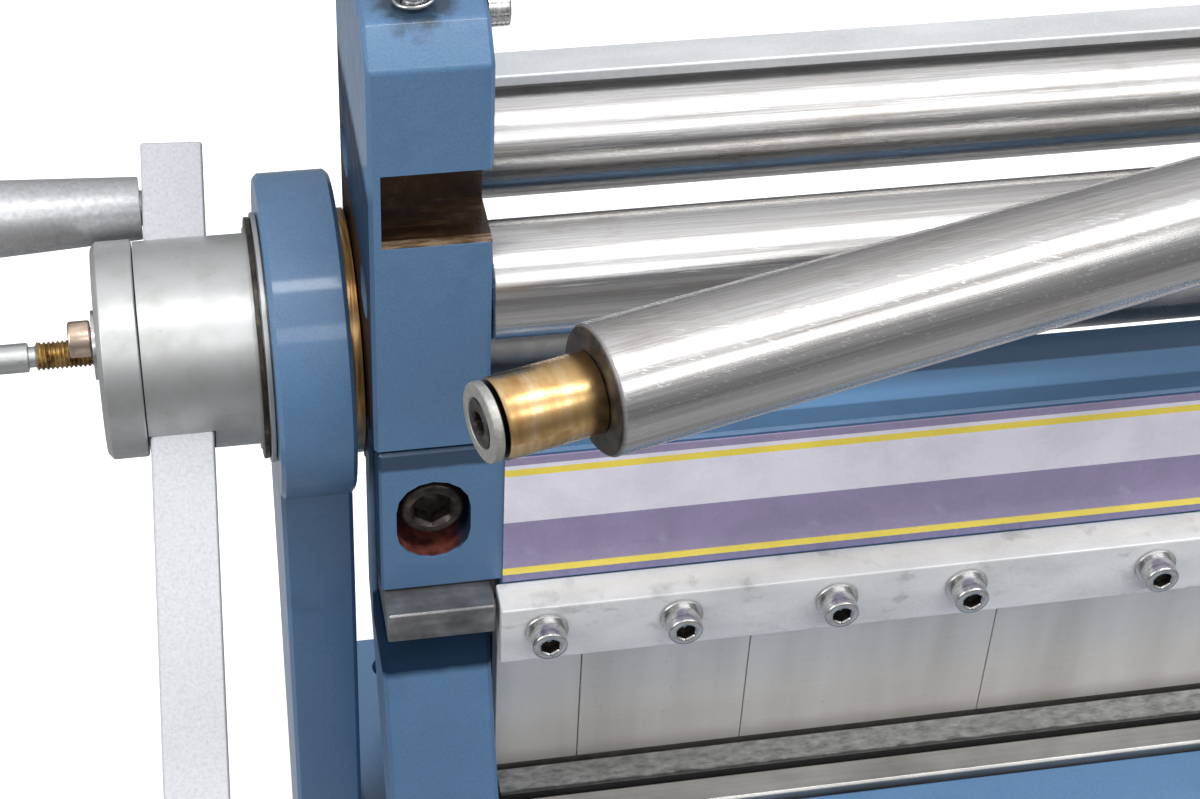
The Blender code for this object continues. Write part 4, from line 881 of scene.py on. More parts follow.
RECIPES = {
    "galvanised": Recipe(
        (GALVANISED, ((0.30, (0.46, 0.47, 0.49)), (0.48, (0.53, 0.54, 0.565)), (0.7, (0.58, 0.59, 0.615)))),
        (GALVANISED, ((0.3, 0.66), (0.7, 0.56))),
        0.25,
        (Bump(GALVANISED, 0.22, 0.00016), Bump(Pattern(120, 3), 0.12, 0.0004)),
        spots=(Pattern(80, 6), ((0.60, 0.0), (0.75, 0.5)), (0.49, 0.49, 0.50)),
    ),
    "zinc": Recipe(
        (STAIN, ((0.32, (0.46, 0.465, 0.45)), (0.5, (0.52, 0.53, 0.525)), (0.7, (0.56, 0.57, 0.57)))),
        (STAIN, ((0.3, 0.44), (0.7, 0.38))),
        0.92,
        (Bump(TURNING, 0.12, 0.00012), Bump(Pattern(800, 3), 0.12, 0.0001)),
        (0.30, Pattern(1.0, 4, (60, 300, 1), True), ((0.32, 0.34), (0.68, 0.74))),
        (Pattern(420, 5), ((0.66, 0.0), (0.74, 0.5)), (0.30, 0.29, 0.26)),
    ),
    "plated": Recipe(
        (PLATE_LINES, ((0.35, (0.46, 0.455, 0.45)), (0.6, (0.70, 0.70, 0.70)))),
        (PLATE_LINES, ((0.3, 0.20), (0.7, 0.30))),
        1.0,
        (Bump(Pattern(700, 3), 0.08, 0.0001),),
        spots=(Pattern(500, 5), ((0.58, 0.0), (0.72, 0.6)), (0.22, 0.20, 0.17)),
    ),
    "handle": Recipe(
        (Pattern(30), ((0.3, (0.42, 0.425, 0.435)), (0.7, (0.53, 0.535, 0.545)))),
        (Pattern(700), ((0.3, 0.50), (0.7, 0.38))),
        0.75,
        (Bump(Pattern(700), 0.15, 0.00015),),
        (0.4, Pattern(700), ((0.3, 0.35), (0.7, 0.65))),
    ),
    "brass": Recipe(
        (RUBBED, ((0.28, (0.44, 0.25, 0.09)), (0.5, (0.64, 0.42, 0.19)), (0.72, (0.80, 0.62, 0.40)))),
        (RUBBED, ((0.3, 0.34), (0.7, 0.22))),
        1.0,
        (Bump(RUBBED, 0.15, 0.00012), Bump(Pattern(260), 0.15, 0.0002)),
        spots=(Pattern(150, 6), ((0.52, 0.0), (0.68, 0.65)), (0.42, 0.21, 0.06)),
    ),
    "copper_tint": Recipe(
        (PATCH, ((0.3, (0.40, 0.30, 0.22)), (0.55, (0.66, 0.52, 0.40)), (0.75, (0.72, 0.64, 0.56)))),
        (PATCH, ((0.3, 0.36), (0.7, 0.22))),
        1.0,
        (Bump(Pattern(900, 3), 0.1, 0.0001),),
    ),
    "washer_grey": Recipe(
        (Pattern(900), ((0.3, (0.33, 0.33, 0.31)), (0.7, (0.47, 0.47, 0.44)))),
        (Pattern(200), ((0.3, 0.55), (0.7, 0.40))),
        0.7,
        (Bump(Pattern(900), 0.3, 0.0002),),
    ),
    "black_steel": Recipe(
        (OIL, ((0.35, (0.022, 0.020, 0.018)), (0.60, (0.060, 0.050, 0.042)), (0.8, (0.17, 0.12, 0.085)))),
        (OIL, ((0.3, 0.50), (0.7, 0.28))),
        0.7,
        (Bump(Pattern(700), 0.25, 0.0002),),
    ),
    # Near-black painted shade inside the hexagon sockets.
    "socket": Recipe(
        (Pattern(500, 5), ((0.35, (0.004, 0.004, 0.004)), (0.7, (0.045, 0.036, 0.028)))),
        (Pattern(500, 5), ((0.3, 0.55), (0.7, 0.32))),
        0.4,
        (Bump(Pattern(900), 0.2, 0.0001),),
    ),
    "clamp_steel": Recipe(
        (CLOUD, ((0.30, (0.68, 0.69, 0.69)), (0.52, (0.82, 0.83, 0.835)), (0.72, (0.90, 0.91, 0.91)))),
        (CLAMP, ((0.3, 0.52), (0.7, 0.40))),
        0.22,
        (Bump(CLAMP, 0.28, 0.00018), Bump(Pattern(240), 0.10, 0.0003)),
        (0.35, CLAMP, ((0.3, 0.25), (0.6, 0.65))),
        (Pattern(95, 6, (1, 1, 1.6)), ((0.57, 0.0), (0.72, 0.55)), (0.30, 0.31, 0.30)),
    ),
    "finger_steel": Recipe(
        (SMEAR, ((0.30, (0.66, 0.625, 0.58)), (0.5, (0.76, 0.725, 0.68)), (0.72, (0.84, 0.81, 0.77)))),
        (GRIND, ((0.3, 0.38), (0.7, 0.46))),
        0.42,
        (Bump(GRIND, 0.12, 0.00012),),
        (0.22, GRIND, ((0.3, 0.35), (0.7, 0.7))),
        (Pattern(420, 5), ((0.68, 0.0), (0.78, 0.4)), (0.30, 0.28, 0.26)),
    ),
    "die_steel": Recipe(
        (MOTTLE, ((0.32, (0.15, 0.15, 0.145)), (0.50, (0.27, 0.275, 0.27)), (0.68, (0.38, 0.385, 0.38)))),
        (MOTTLE, ((0.3, 0.66), (0.7, 0.42))),
        0.6,
        (Bump(MOTTLE, 0.6, 0.0004),),
        spots=(Pattern(75, 6), ((0.5, 0.0), (0.7, 0.5)), (0.19, 0.19, 0.18)),
    ),
    "strip_steel": Recipe(
        (Pattern(40, 6), ((0.3, (0.30, 0.295, 0.28)), (0.7, (0.46, 0.455, 0.44)))),
        (PLANE, ((0.3, 0.30), (0.7, 0.42))),
        0.9,
        (Bump(PLANE, 0.1, 0.0001), Bump(Pattern(500), 0.1, 0.00015)),
        (0.3, PLANE, ((0.3, 0.35), (0.7, 0.7))),
    ),
    "pad_iron": Recipe(
        (STAIN, ((0.32, (0.13, 0.13, 0.13)), (0.6, (0.24, 0.24, 0.24)), (0.75, (0.34, 0.335, 0.33)))),
        (STAIN, ((0.3, 0.50), (0.7, 0.34))),
        0.75,
        (Bump(WIPE, 0.2, 0.0002),),
        (0.4, WIPE, ((0.3, 0.3), (0.7, 0.75))),
    ),
    "shaft_steel": Recipe(
        (Pattern(60, 5), ((0.3, (0.34, 0.335, 0.32)), (0.7, (0.56, 0.555, 0.545)))),
        (Pattern(400), ((0.3, 0.25), (0.7, 0.38))),
        1.0,
        (Bump(Pattern(600), 0.1, 0.0001),),
    ),
    "stay_zinc": Recipe(
        (Pattern(24, 5, (1, 3, 3)), ((0.3, (0.55, 0.565, 0.575)), (0.7, (0.67, 0.685, 0.70)))),
        (Pattern(900), ((0.3, 0.5), (0.7, 0.38))),
        0.35,
        (Bump(Pattern(900), 0.2, 0.0002),),
        (0.25, Pattern(900), ((0.3, 0.35), (0.7, 0.65))),
    ),
    "plastic": Recipe(
        (Pattern(60), ((0.3, (0.012, 0.012, 0.013)), (0.7, (0.024, 0.024, 0.026)))),
        (Pattern(900), ((0.3, 0.38), (0.7, 0.52))),
        0.0,
        (Bump(Pattern(900), 0.25, 0.0002),),
    ),
}


@dataclass
class Palette:
    """All finishes of the machine, each made once."""

    scratches: bpy.types.NodeTree = field(default_factory=scratch_group)
    made: dict[str, bpy.types.Material] = field(default_factory=dict)

    def get(self, name: str) -> bpy.types.Material:
        """Finds or makes a finish, from its recipe, from the method of its name, or from both in turn.

        Args:
            name: the finish's name.

        Returns:
            The material.
        """
        if name not in self.made:
            finish = Finish(name)
            if name in RECIPES:
                self.follow(finish, RECIPES[name])
            extra = getattr(self, name, None)
            if extra:
                extra(finish)
            self.made[name] = finish.material
        return self.made[name]

    def follow(self, m: Finish, recipe: Recipe) -> None:
        """Fills a material in from a recipe.

        Args:
            m: the material being made.
            recipe: its patterns and ramps.
        """
        pattern, stops = recipe.colour
        colour = m.ramp(m.noise(*pattern), stops)
        if recipe.grain:
            share, pattern, stops = recipe.grain
            colour = m.blend(share, colour, m.ramp(m.noise(*pattern), stops), "OVERLAY")
        if recipe.spots:
            pattern, stops, tint = recipe.spots
            colour = m.blend(m.ramp(m.noise(*pattern), stops), colour, tint)
        pattern, stops = recipe.rough
        m.set(colour, m.ramp(m.noise(*pattern), stops), recipe.metallic)
        m.bump(*((m.noise(*bump.pattern), bump.strength, bump.height) for bump in recipe.bumps))

    def paint(self, m: Finish) -> None:
        """Blue enamel over a slightly pebbled casting.

        Args:
            m: the material being made.
        """
        wide = m.ramp(m.noise(14, 3), [(0.3, (0.080, 0.176, 0.322)), (0.7, (0.092, 0.200, 0.358))])
        pebble = m.ramp(m.noise(1700, 3), [(0.34, 0.90), (0.62, 1.05)])
        m.set(m.blend(1.0, wide, pebble, "MULTIPLY"), m.ramp(m.noise(120, 4), [(0.3, 0.36), (0.7, 0.50)]))
        m.over(m.ramp(m.noise(60, 6), [(0.54, 0.0), (0.74, 0.6)]), (0.062, 0.142, 0.265))
        m.shader.inputs["Coat Weight"].default_value = FULL_COAT
        m.shader.inputs["Coat Roughness"].default_value = 0.10
        m.bump((m.noise(1500, 3), 0.45, 0.00018), (m.noise(170, 3), 0.20, 0.0004))

    def bracket_paint(self, m: Finish) -> None:
        """Enamel with greasy bare iron inside the open notch, whose near-black tones are painted shade, dark
        oil at the shaft, and painted shade on the left side face.

        Args:
            m: the material being made.
        """
        self.paint(m)
        # Greasy bare iron inside the notch; its near-black tones are painted shade in the recess.
        x, y = (-OUTER_X + 0.0022, OUTER_X - 0.0022), (FACE_Y + 0.0004, FACE_Y + 0.0205)
        notch = m.inside(0.0004, 0.0004, x, y, (NOTCH_Z - 0.0229, NOTCH_Z + 0.0004))
        grease = [(0.30, (0.008, 0.004, 0.002)), (0.55, (0.038, 0.018, 0.008)), (0.78, (0.14, 0.08, 0.04))]
        m.over(notch, m.ramp(m.noise(55, 5, (1, 5, 1)), grease))
        y, z = (FACE_Y - 0.001, FACE_Y + 0.0036), (NOTCH_Z - 0.0236, NOTCH_Z - 0.0215)
        lip = m.inside(0.0005, 0.0006, y=y, z=z)
        rubbed = [(0.35, (0.10, 0.055, 0.025)), (0.65, (0.40, 0.29, 0.19))]
        m.over(m.times(lip, notch), m.ramp(m.noise(1.0, 4, (160, 900, 200)), rubbed))
        foot = m.spot(LATCH.x, LATCH.y, 0.0094, 0.0040)
        top = m.inside(0.001, z=(NOTCH_Z + 0.03, None))
        m.over(m.times(foot, top), (0.014, 0.032, 0.055), 0.9)
        # Painted shade: faces turned to the left below the notch are made near-black navy, with less coat
        # and specular.
        left = m.facing(0, -1)
        side = m.times(m.inside(0.006, 0.006, z=(None, NOTCH_Z - 0.006)), left)
        m.over(side, (0.006, 0.020, 0.042), 0.93)
        y, z = (FACE_Y + 0.0045, None), (NOTCH_Z - 0.14, NOTCH_Z - 0.040)
        m.over(m.times(m.inside(0.002, 0.004, y=y, z=z), left), (0.040, 0.018, 0.008), 0.9)
        m.fade("Coat Weight", THIN_COAT, side, THIN_COAT)
        m.fade("Specular IOR Level", SPECULAR, side, 0.47)
        m.over(notch, m.ramp(m.noise(300, 4), [(0.35, 0.16), (0.7, 0.5)]), name="Roughness")
        m.link(m.times(notch, 0.35), m.shader.inputs["Metallic"])

    def ram_paint(self, m: Finish) -> None:
        """Enamel with red-brown primer inside the guide slots, painted light and shade across the top, and
        painted shade on the left faces and under the left bracket.

        Args:
            m: the material being made.
        """
        self.paint(m)
        for side in (-1, 1):
            x, y = (side * BLOCK_X - 0.0107, side * BLOCK_X + 0.0107), (FACE_Y + 0.0008, FACE_Y + 0.03)
            slot = m.inside(0.0006, 0.0006, x, y, (SLOT_Z - 0.0149, SLOT_Z + 0.0149))
            primer = m.ramp(m.noise(240, 5), [(0.35, (0.045, 0.012, 0.010)), (0.65, (0.17, 0.045, 0.030))])
            m.over(slot, primer)
        # Painted light and shade across the ram's top: a painted shaded strip at the front edge, a painted
        # lit band, and the painted shadow of the lower roll behind it.
        up = m.facing(2, 1)
        for start, end, share, tint in (
            (-0.002, 0.0072, 0.35, (0.040, 0.105, 0.200)),
            (0.0072, 0.018, 0.80, (0.150, 0.320, 0.560)),
            (0.018, 0.200, 0.80, (0.030, 0.082, 0.165)),
        ):
            ram_top_light_and_shade = m.inside(0.0008, x=(-INNER_X, INNER_X), y=(FACE_Y + start, FACE_Y + end))
            m.over(m.times(ram_top_light_and_shade, up), tint, share)
        # Painted shade: faces turned to the left are made dark navy, with less coat and specular.
        left = m.facing(0, -1)
        m.over(left, (0.008, 0.026, 0.052), 0.9)
        # Painted shadow under the left bracket's lower edge, across the top of the ram block's front.
        x, y, z = (None, -INNER_X + 0.001), (None, FACE_Y + 0.004), (NOTCH_Z - 0.0975, None)
        m.over(m.inside(0.0012, 0.0014, x, y, z), (0.005, 0.022, 0.055), 0.85)
        m.fade("Coat Weight", THIN_COAT, left, THIN_COAT)
        m.fade("Specular IOR Level", SPECULAR, left, 0.47)

    def frame_paint(self, m: Finish) -> None:
        """Enamel with the stop pad's shadow painted on the top of each leg.

        Args:
            m: the material being made.
        """
        self.paint(m)
        # Painted shadow of the stop pad: near-black, rough, with less coat and specular.
        y, z = (None, FACE_Y + 0.0150), (NOTCH_Z - 0.1678, NOTCH_Z - 0.10)
        shade = m.inside(0.0022, 0.0012, y=y, z=z)
        m.over(shade, (0.004, 0.016, 0.040), 0.95)
        m.over(shade, 0.75, name="Roughness")
        m.fade("Coat Weight", THIN_COAT, shade, THIN_COAT)
        m.fade("Specular IOR Level", SPECULAR, shade, 0.4)

    def roll(self, m: Finish) -> None:
        """Polished roll: streaks along it, fine scratches across it and warm oil stains.

        Args:
            m: the material being made.
        """
        streak = m.noise(1.0, 5, (6, 60, 1), True, 0.62)
        fine = m.noise(1.0, 4, (26, 430, 1), True, 0.6)
        steel = [(0.28, (0.42, 0.395, 0.37)), (0.50, (0.54, 0.53, 0.52)), (0.72, (0.63, 0.63, 0.63))]
        colour = m.blend(0.45, m.ramp(streak, steel), m.ramp(fine, [(0.3, 0.30), (0.7, 0.72)]), "OVERLAY")
        marks = m.shared(self.scratches).outputs["Mask"]
        rough = m.math("ADD", m.times(fine, 0.12), m.times(streak, 0.12))
        rough = m.math("ADD", rough, m.math("ADD", m.times(marks, 0.08), 0.12))
        # The journal ends inside the left bracket are near-black with a blue tint, and rougher.
        left_journal_end = m.inside(0.0005, x=(None, -OUTER_X + 0.0030))
        m.set(colour, m.math("ADD", rough, m.times(left_journal_end, 0.4)), 1.0)
        stain = m.ramp(m.noise(1.0, 6, (16, 3.2, 1), True, 0.7), [(0.54, 0.0), (0.70, 0.55)])
        m.over(stain, (0.30, 0.255, 0.21))
        m.over(marks, (0.82, 0.82, 0.82), 0.30)
        m.over(left_journal_end, (0.012, 0.018, 0.028))
        m.bump((fine, 0.16, 0.00006), (m.noise(9, 2, (1, 4, 4)), 0.08, 0.0004))

    def roll_with_shoulder(self, m: Finish) -> None:
        """The roll's finish, with a dark greasy end face and chamfer.

        Args:
            m: the material being made.
        """
        self.roll(m)
        end = m.math("ADD", m.times(m.along_roll(), 900), 1.35, clamp=True)
        m.over(end, m.ramp(m.noise(260, 5), [(0.35, (0.020, 0.018, 0.016)), (0.65, (0.070, 0.052, 0.038))]))
        m.over(end, 0.42, name="Roughness")
        m.fade("Metallic", 1.0, end, 0.9)
        m.fade("Specular IOR Level", SPECULAR, end, 0.3)

    def galvanised(self, m: Finish) -> None:
        """Paints shade on the inner side of the galvanised bar.

        Args:
            m: the material being made.
        """
        m.over(m.facing(0, 1, 0.55, 0.90), (0.17, 0.172, 0.175))

    def hub_zinc(self, m: Finish) -> None:
        """Zinc plate that turns into brown grease at the flange beside the bracket.

        Args:
            m: the material being made.
        """
        self.follow(m, RECIPES["zinc"])
        near = m.inside(0.0005, x=(-OUTER_X - 0.0034, None))
        stops = [(0.32, (0.10, 0.045, 0.015)), (0.50, (0.33, 0.17, 0.055)), (0.72, (0.62, 0.42, 0.20))]
        grease = m.ramp(m.noise(1.0, 5, (1400, 70, 70)), stops)
        clean = m.inside(0.012, 0.004, z=(None, HUB.z - 0.006))
        grease = m.blend(m.times(clean, 0.65), grease, (0.55, 0.48, 0.38))
        m.over(near, grease)
        m.over(near, 0.28, name="Roughness")

    def brass(self, m: Finish) -> None:
        """Blackens the groove at the bush's end.

        Args:
            m: the material being made.
        """
        beyond = m.math("SUBTRACT", m.along_roll(), BUSH_LENGTH + 0.0001)
        groove = m.math("ADD", m.times(beyond, 5000), 0.0, clamp=True)
        m.over(groove, (0.012, 0.009, 0.007))

    def half_brass(self, m: Finish) -> None:
        """Steel shank with a yellow passivated thread.

        Args:
            m: the material being made.
        """
        self.follow(m, RECIPES["zinc"])
        thread = m.inside(0.0006, x=(-OUTER_X - LOCK_NECK, None))
        m.over(thread, m.ramp(m.noise(420, 5), [(0.35, (0.16, 0.09, 0.03)), (0.65, (0.62, 0.45, 0.20))]))

    def die_steel(self, m: Finish) -> None:
        """Paints shade into the V die's groove, and darkens its front edge.

        Args:
            m: the material being made.
        """
        # Painted shade on the V groove's flanks.
        groove = m.inside(0.0006, 0.0005, y=(FACE_Y - 0.0034, FACE_Y + 0.0048))
        m.over(groove, (0.10, 0.085, 0.075), 0.6)
        edge = m.inside(0.0008, 0.0022, y=(None, FACE_Y - 0.0118))
        m.over(edge, (0.03, 0.03, 0.028), 0.85)

    def label(self, m: Finish) -> None:
        """Plain label plate: pale and lavender bands between two yellow lines.

        Args:
            m: the material being made.
        """
        split = m.split("Object")
        bottom, top = NOTCH_Z - 0.1434, NOTCH_Z - 0.0959
        height = m.math("DIVIDE", m.math("SUBTRACT", split.outputs[2], bottom), top - bottom)
        lower, upper, yellow = (0.300, 0.255, 0.430), (0.830, 0.810, 0.920), (0.950, 0.760, 0.080)
        foot, head = (0.200, 0.185, 0.360), (0.310, 0.260, 0.420)
        places = (0.0, 0.060, 0.115, 0.487, 0.855, 0.905, 0.935)
        stops = list(zip(places, (foot, yellow, lower, upper, yellow, upper, head)))
        wear = m.ramp(m.noise(50, 5), [(0.4, 0.92), (0.6, 1.04)])
        colour = m.blend(1.0, m.ramp(height, stops, "CONSTANT"), wear, "MULTIPLY")
        m.set(colour, m.ramp(m.noise(200, 3), [(0.3, 0.22), (0.7, 0.32)]))
        m.shader.inputs["Coat Weight"].default_value = 0.4
        m.bump((m.noise(90, 2), 0.05, 0.0003))


class Machine:
    """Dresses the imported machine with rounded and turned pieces."""

    def __init__(self, frame: dict) -> None:
        """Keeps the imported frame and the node's bodies.
        """
        self.frame = frame
        self.palette = Palette()
        bodies = frame["record"]["behaviour"]["bodies"]
        self.body_of = {node: body for body, nodes in bodies.items() for node in nodes}

    def add(self, name: str, shape: Solid, finish: str, sharp: float = 35.0) -> bpy.types.Object:
        """Makes a piece that stands for a CAD node.

        Args:
            name: the node, which also names the piece.
            shape: its mesh in world places.
            finish: the name of its finish.
            sharp: edges over this angle in degrees stay sharp.

        Returns:
            The piece.
        """
        mesh = bpy.data.meshes.new(name)
        bmesh.ops.recalc_face_normals(shape, faces=shape.faces)
        has_socket = any(face.material_index for face in shape.faces)
        shape.to_mesh(mesh)
        shape.free()
        mesh.shade_smooth()
        mesh.set_sharp_from_angle(angle=math.radians(sharp))
        piece = new_object(name + "_look", mesh)
        mesh.materials.append(self.palette.get(finish))
        # Faces inside hexagon sockets get the near-black painted shade.
        if has_socket:
            mesh.materials.append(self.palette.get("socket"))
        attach(piece, self.body_of[name])
        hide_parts(name)
        return piece

    def refine(
        self, node: str, finish: str, width: float = 0.0004, segments: int = 2, least: float = 28.0
    ) -> None:
        """Copies a CAD node and rounds its edges.

        Args:
            node: the node.
            finish: its material.
            width: width of the rounding.
            segments: faces across the rounding.
            least: smallest angle in degrees of an edge that is rounded.
        """
        shape = bmesh.new()
        shape.from_mesh(self.frame["nodes"][node].data)
        bmesh.ops.remove_doubles(shape, verts=shape.verts, dist=WELD)
        bmesh.ops.dissolve_limit(shape, angle_limit=FLAT, verts=shape.verts, edges=shape.edges)
        corners = [edge for edge in shape.edges if edge.calc_face_angle(0.0) > math.radians(least)]
        edges = [edge for edge in corners if edge.calc_length() > width * SHORTEST]
        ways = {"offset_type": "OFFSET", "affect": "EDGES", "material": -1, "clamp_overlap": True}
        bmesh.ops.bevel(shape, geom=edges, offset=width, segments=segments, profile=0.5, **ways)
        step = self.add(node, shape, finish, sharp=32).modifiers.new("normals", "WEIGHTED_NORMAL")
        step.keep_sharp = True

    def castings(self) -> None:
        """Painted castings with rounded edges."""
        for side in ("left", "right"):
            self.refine("roll_bracket_" + side, "bracket_paint", 0.0005)
            self.refine("base_frame_" + side, "frame_paint", 0.0006)
            self.refine("link_" + side, "paint", 0.0005)
        self.refine("ram_beam", "ram_paint")
        self.refine("table_beam", "paint", 0.0005)

    def flat_steel(self) -> None:
        """Bars, blades, fingers and pads."""
        for node, finish, *rounding in (
            ("clamp_bar", "clamp_steel", 0.0003),
            *(("finger_%03d_mm" % width, "finger_steel", 0.00018, 1) for width in (25, 51, 76, 152)),
            ("v_die", "die_steel", 0.0003),
            ("table_front_strip", "strip_steel", 0.00025),
            ("rear_stay_bar", "stay_zinc", 0.0002),
            *(("stop_pad_" + side, "pad_iron", 0.0003) for side in ("left", "right")),
            *((blade + "_shear_blade", "strip_steel", 0.0002, 1) for blade in ("upper", "lower")),
            ("back_gauge_bar", "clamp_steel"),
            ("back_gauge_rods", "shaft_steel", 0.0002, 1, 40),
            ("label_strip", "label", 0.00008, 1),
        ):
            self.refine(node, finish, *rounding)

    def rolls(self) -> None:
        """The three rolls and the trim on the free end of the top one."""
        body = INNER_X - ROLL_PLAY
        start = -OUTER_X + 0.001
        journal, crank_end = 0.007, 0.0065
        first = -start - body
        last = first + 2 * body
        for name, (y, z), end in (
            ("lower_roll", LOWER_AXIS, CRANK_X - start),
            ("rear_roll", REAR_AXIS, 2 * OUTER_X - 0.002),
        ):
            points = [
                (0.0, journal - 0.001), (0.001, journal), (first, journal),
                (first, ROLL_RADIUS - 0.0008), (first + 0.0008, ROLL_RADIUS),
                (last - 0.0008, ROLL_RADIUS), (last, ROLL_RADIUS - 0.0008), (last, journal),
            ]
            if name == "lower_roll":
                points += [(2 * OUTER_X, journal), (2 * OUTER_X, crank_end)]
                points += [(end - 0.001, crank_end), (end, crank_end - 0.001)]
            else:
                points += [(end - 0.001, journal), (end, journal - 0.001)]
            shape = turned(filleted(points, 0.0003), (start, y, z), Axis.RIGHT.value, 160)
            self.add(name, shape, "roll")
        self.top_roll()

    def top_roll(self) -> None:
        """The roll that is swung out to the front."""
        right = PIVOT.x - INNER_X + 0.004
        left = PIVOT.x + INNER_X - ROLL_PLAY
        start = left + FIT
        bush_end = start + BUSH_LENGTH
        points = [
            (-0.0085, 0.0055), (-0.0075, 0.0065), (right, 0.0065), (right, ROLL_RADIUS - 0.0008),
            (right + 0.0008, ROLL_RADIUS), (left - 0.0011, ROLL_RADIUS), (left, ROLL_RADIUS - 0.0011),
            (left, 0.0046), (left - 0.0110, 0.0043),
        ]
        shape = turned(filleted(points, 0.00025), PIVOT, TOP_AXIS, 192)
        self.add("top_roll", shape, "roll_with_shoulder")
        bush = [
            (start, 0.0043), (start, 0.00955), (start + 0.0003, 0.00975), (start + 0.0110, 0.00968),
            (bush_end - 0.0008, 0.00975), (bush_end, 0.0092), (bush_end, 0.00725),
            (bush_end + 0.0008, 0.00725), (bush_end + 0.0008, 0.0043),
        ]
        self.add("top_roll_bush", turned(rings_of(bush), PIVOT, TOP_AXIS, 128, closed=True), "brass")
        low = bush_end + 0.0011
        high = low + 0.0026
        ring = [
            (low, 0.0044), (low, 0.0090), (low + 0.0003, 0.0094), (high - 0.0008, 0.0095),
            (high - 0.0003, 0.0093), (high, 0.0088), (high, 0.0064), (high - 0.0017, 0.0044),
        ]
        shape = turned(rings_of(ring), PIVOT, TOP_AXIS, 128, closed=True)
        self.add("top_roll_end_washer", shape, "washer_grey")
        flat = 0.0025
        screw = [
            Ring(left - 0.0100, 0.0040), Ring(high - 0.0017, 0.0040), Ring(high - 0.0002, 0.0059),
            Ring(high, 0.0057), Ring(high, flat * 1.22), Ring(high - 0.0003, flat * 1.02, True),
            Ring(high - 0.0028, flat, True), Ring(high - 0.0031, 0.0008),
        ]
        self.add("top_roll_end_screw", turned(screw, PIVOT, TOP_AXIS, 96), "black_steel")
        self.refine("swivel_block", "shaft_steel", 0.0003, 2, 40)

    def hub(self) -> None:
        """Eccentrics, rings, cap and the screws on the hub."""
        for node, finish, *rounding in (
            ("eccentric_left", "hub_zinc", 0.0004, 2, 30),
            ("eccentric_right", "zinc", 0.0004, 2, 30),
            ("inner_retaining_ring", "zinc", 0.0002, 1, 40),
            ("outer_retaining_ring", "black_steel", 0.0002, 1, 40),
            ("hub_cap", "zinc", 0.0004, 2, 30),
            ("hub_plate", "plated", 0.0002, 1, 40),
            ("cross_shaft", "shaft_steel", 0.0003, 2, 40),
        ):
            self.refine(node, finish, *rounding)
        plate_end = OUTER_X + HUB_END + FIT + HUB_PLATE + FIT
        seat = (-plate_end, HUB.y - 0.0043, HUB.z + 0.0085)
        self.add("hub_screw", turned(small_head(0.011), seat, Axis.RIGHT.value, 96), "copper_tint")
        start = LEVER_OUT + LEVER_HALF + FIT
        screw = [
            (start, 0.0034), (start + 0.0006, 0.0040), (LOCK_NECK, 0.0040), (0.0874, 0.0029),
            (0.0890, 0.0029), (0.0894, 0.0041), (0.1220, 0.0041), (0.1220, 0.0110), (0.1232, 0.0120),
            (0.1428, 0.0120), (0.1440, 0.0110),
        ]
        thread = Thread(start + 0.001, 0.0864, 0.00125, 0.0007)
        knurl = Knurl(0.1240, 0.1420, 48, 0.0005)
        seat = (-OUTER_X, HUB.y, HUB.z)
        shape = turned(rings_of(screw), seat, Axis.LEFT.value, 128, thread, knurl)
        self.add("lock_screw", shape, "half_brass")

    def lever(self) -> None:
        """Square bar, side handle and grip."""
        self.refine("lever_bar", "galvanised", 0.0004, 2)
        turn = Matrix.Rotation(math.pi / 2 + LEVER_FALL, 3, "X") @ Matrix.Rotation(-LEVER_LEAN, 3, "Y")
        axis = turn @ Vector((0, 0, 1))
        centre = Vector((-OUTER_X - LEVER_OUT, HUB.y, HUB.z))
        seat = LEVER_HALF + FIT + 0.0089 * math.sin(LEVER_LEAN)
        handle = [
            (0.001, 0.0046), (0.0014, 0.0050), (seat, 0.0050), (seat, 0.0087), (seat + 0.0004, 0.0089),
            (seat + 0.0896, 0.01325), (seat + 0.100, 0.01315), (seat + 0.1060, 0.0119),
            (seat + 0.1100, 0.0091), (seat + 0.1120, 0.0050),
        ]
        shape = turned(rings_of(handle), centre - axis * HANDLE_OUT, Axis.LEFT.value, 128)
        self.add("side_handle", shape, "handle", sharp=40)
        self.refine("lever_grip", "plastic", 0.0005, 2, 30)

    def fasteners(self) -> None:
        """Cap screws, guide screws, pins and knobs."""
        # The cap screw's rings down to the foot of its head, lifted by the washer that is one piece with it
        washer, head_rings = 0.001, 11
        rings = small_head(0.026)[:head_rings]
        rings = [Ring(ring.along - washer, ring.radius, ring.hexagon) for ring in rings]
        rings += rings_of((
            (-washer, 0.0050), (-washer, 0.0061), (-0.0008, 0.00625), (-0.0002, 0.00625), (0.0, 0.0061),
            (0.0, 0.0031), (0.0255, 0.0030), (0.0260, 0.0026),
        ))
        seat_y = FACE_Y - FIT - CLAMP_DEPTH - FIT
        for number, x in enumerate(CLAMP_SCREWS, 1):
            shape = turned(rings, (x, seat_y, CLAMP_SCREW_Z), Axis.BACK.value, 96)
            self.add("clamp_screw_%d" % number, shape, "plated")
        for side, word in ((-1, "left"), (1, "right")):
            seat = (side * BLOCK_X, FACE_Y + 0.0143, NOTCH_Z - 0.1156)
            rings = socket_head(0.018, 0.0118, 0.010, 0.006, 0.012, 0.0118)
            self.add("guide_screw_" + word, turned(rings, seat, Axis.BACK.value, 120), "black_steel")
            seat = (side * (OUTER_X - 0.0155), FACE_Y + 0.060, 0.3840)
            self.knob("bend_screw_" + word, seat, 0.022, 0.008, 0.0657)
            self.refine("link_pin_" + word, "zinc", 0.0003, 2, 40)
        seat = (-INNER_X + 0.0025, FACE_Y + 0.034, NOTCH_Z + 0.0245)
        self.add("side_screw", turned(small_head(0.010), seat, Axis.LEFT.value, 96), "plated")
        seat = LATCH + Vector((0, 0, SPRING_HEIGHT + 2 * FIT))
        self.knob("latch_screw", seat, 0.016, 0.006, 0.0528)
        self.spring()

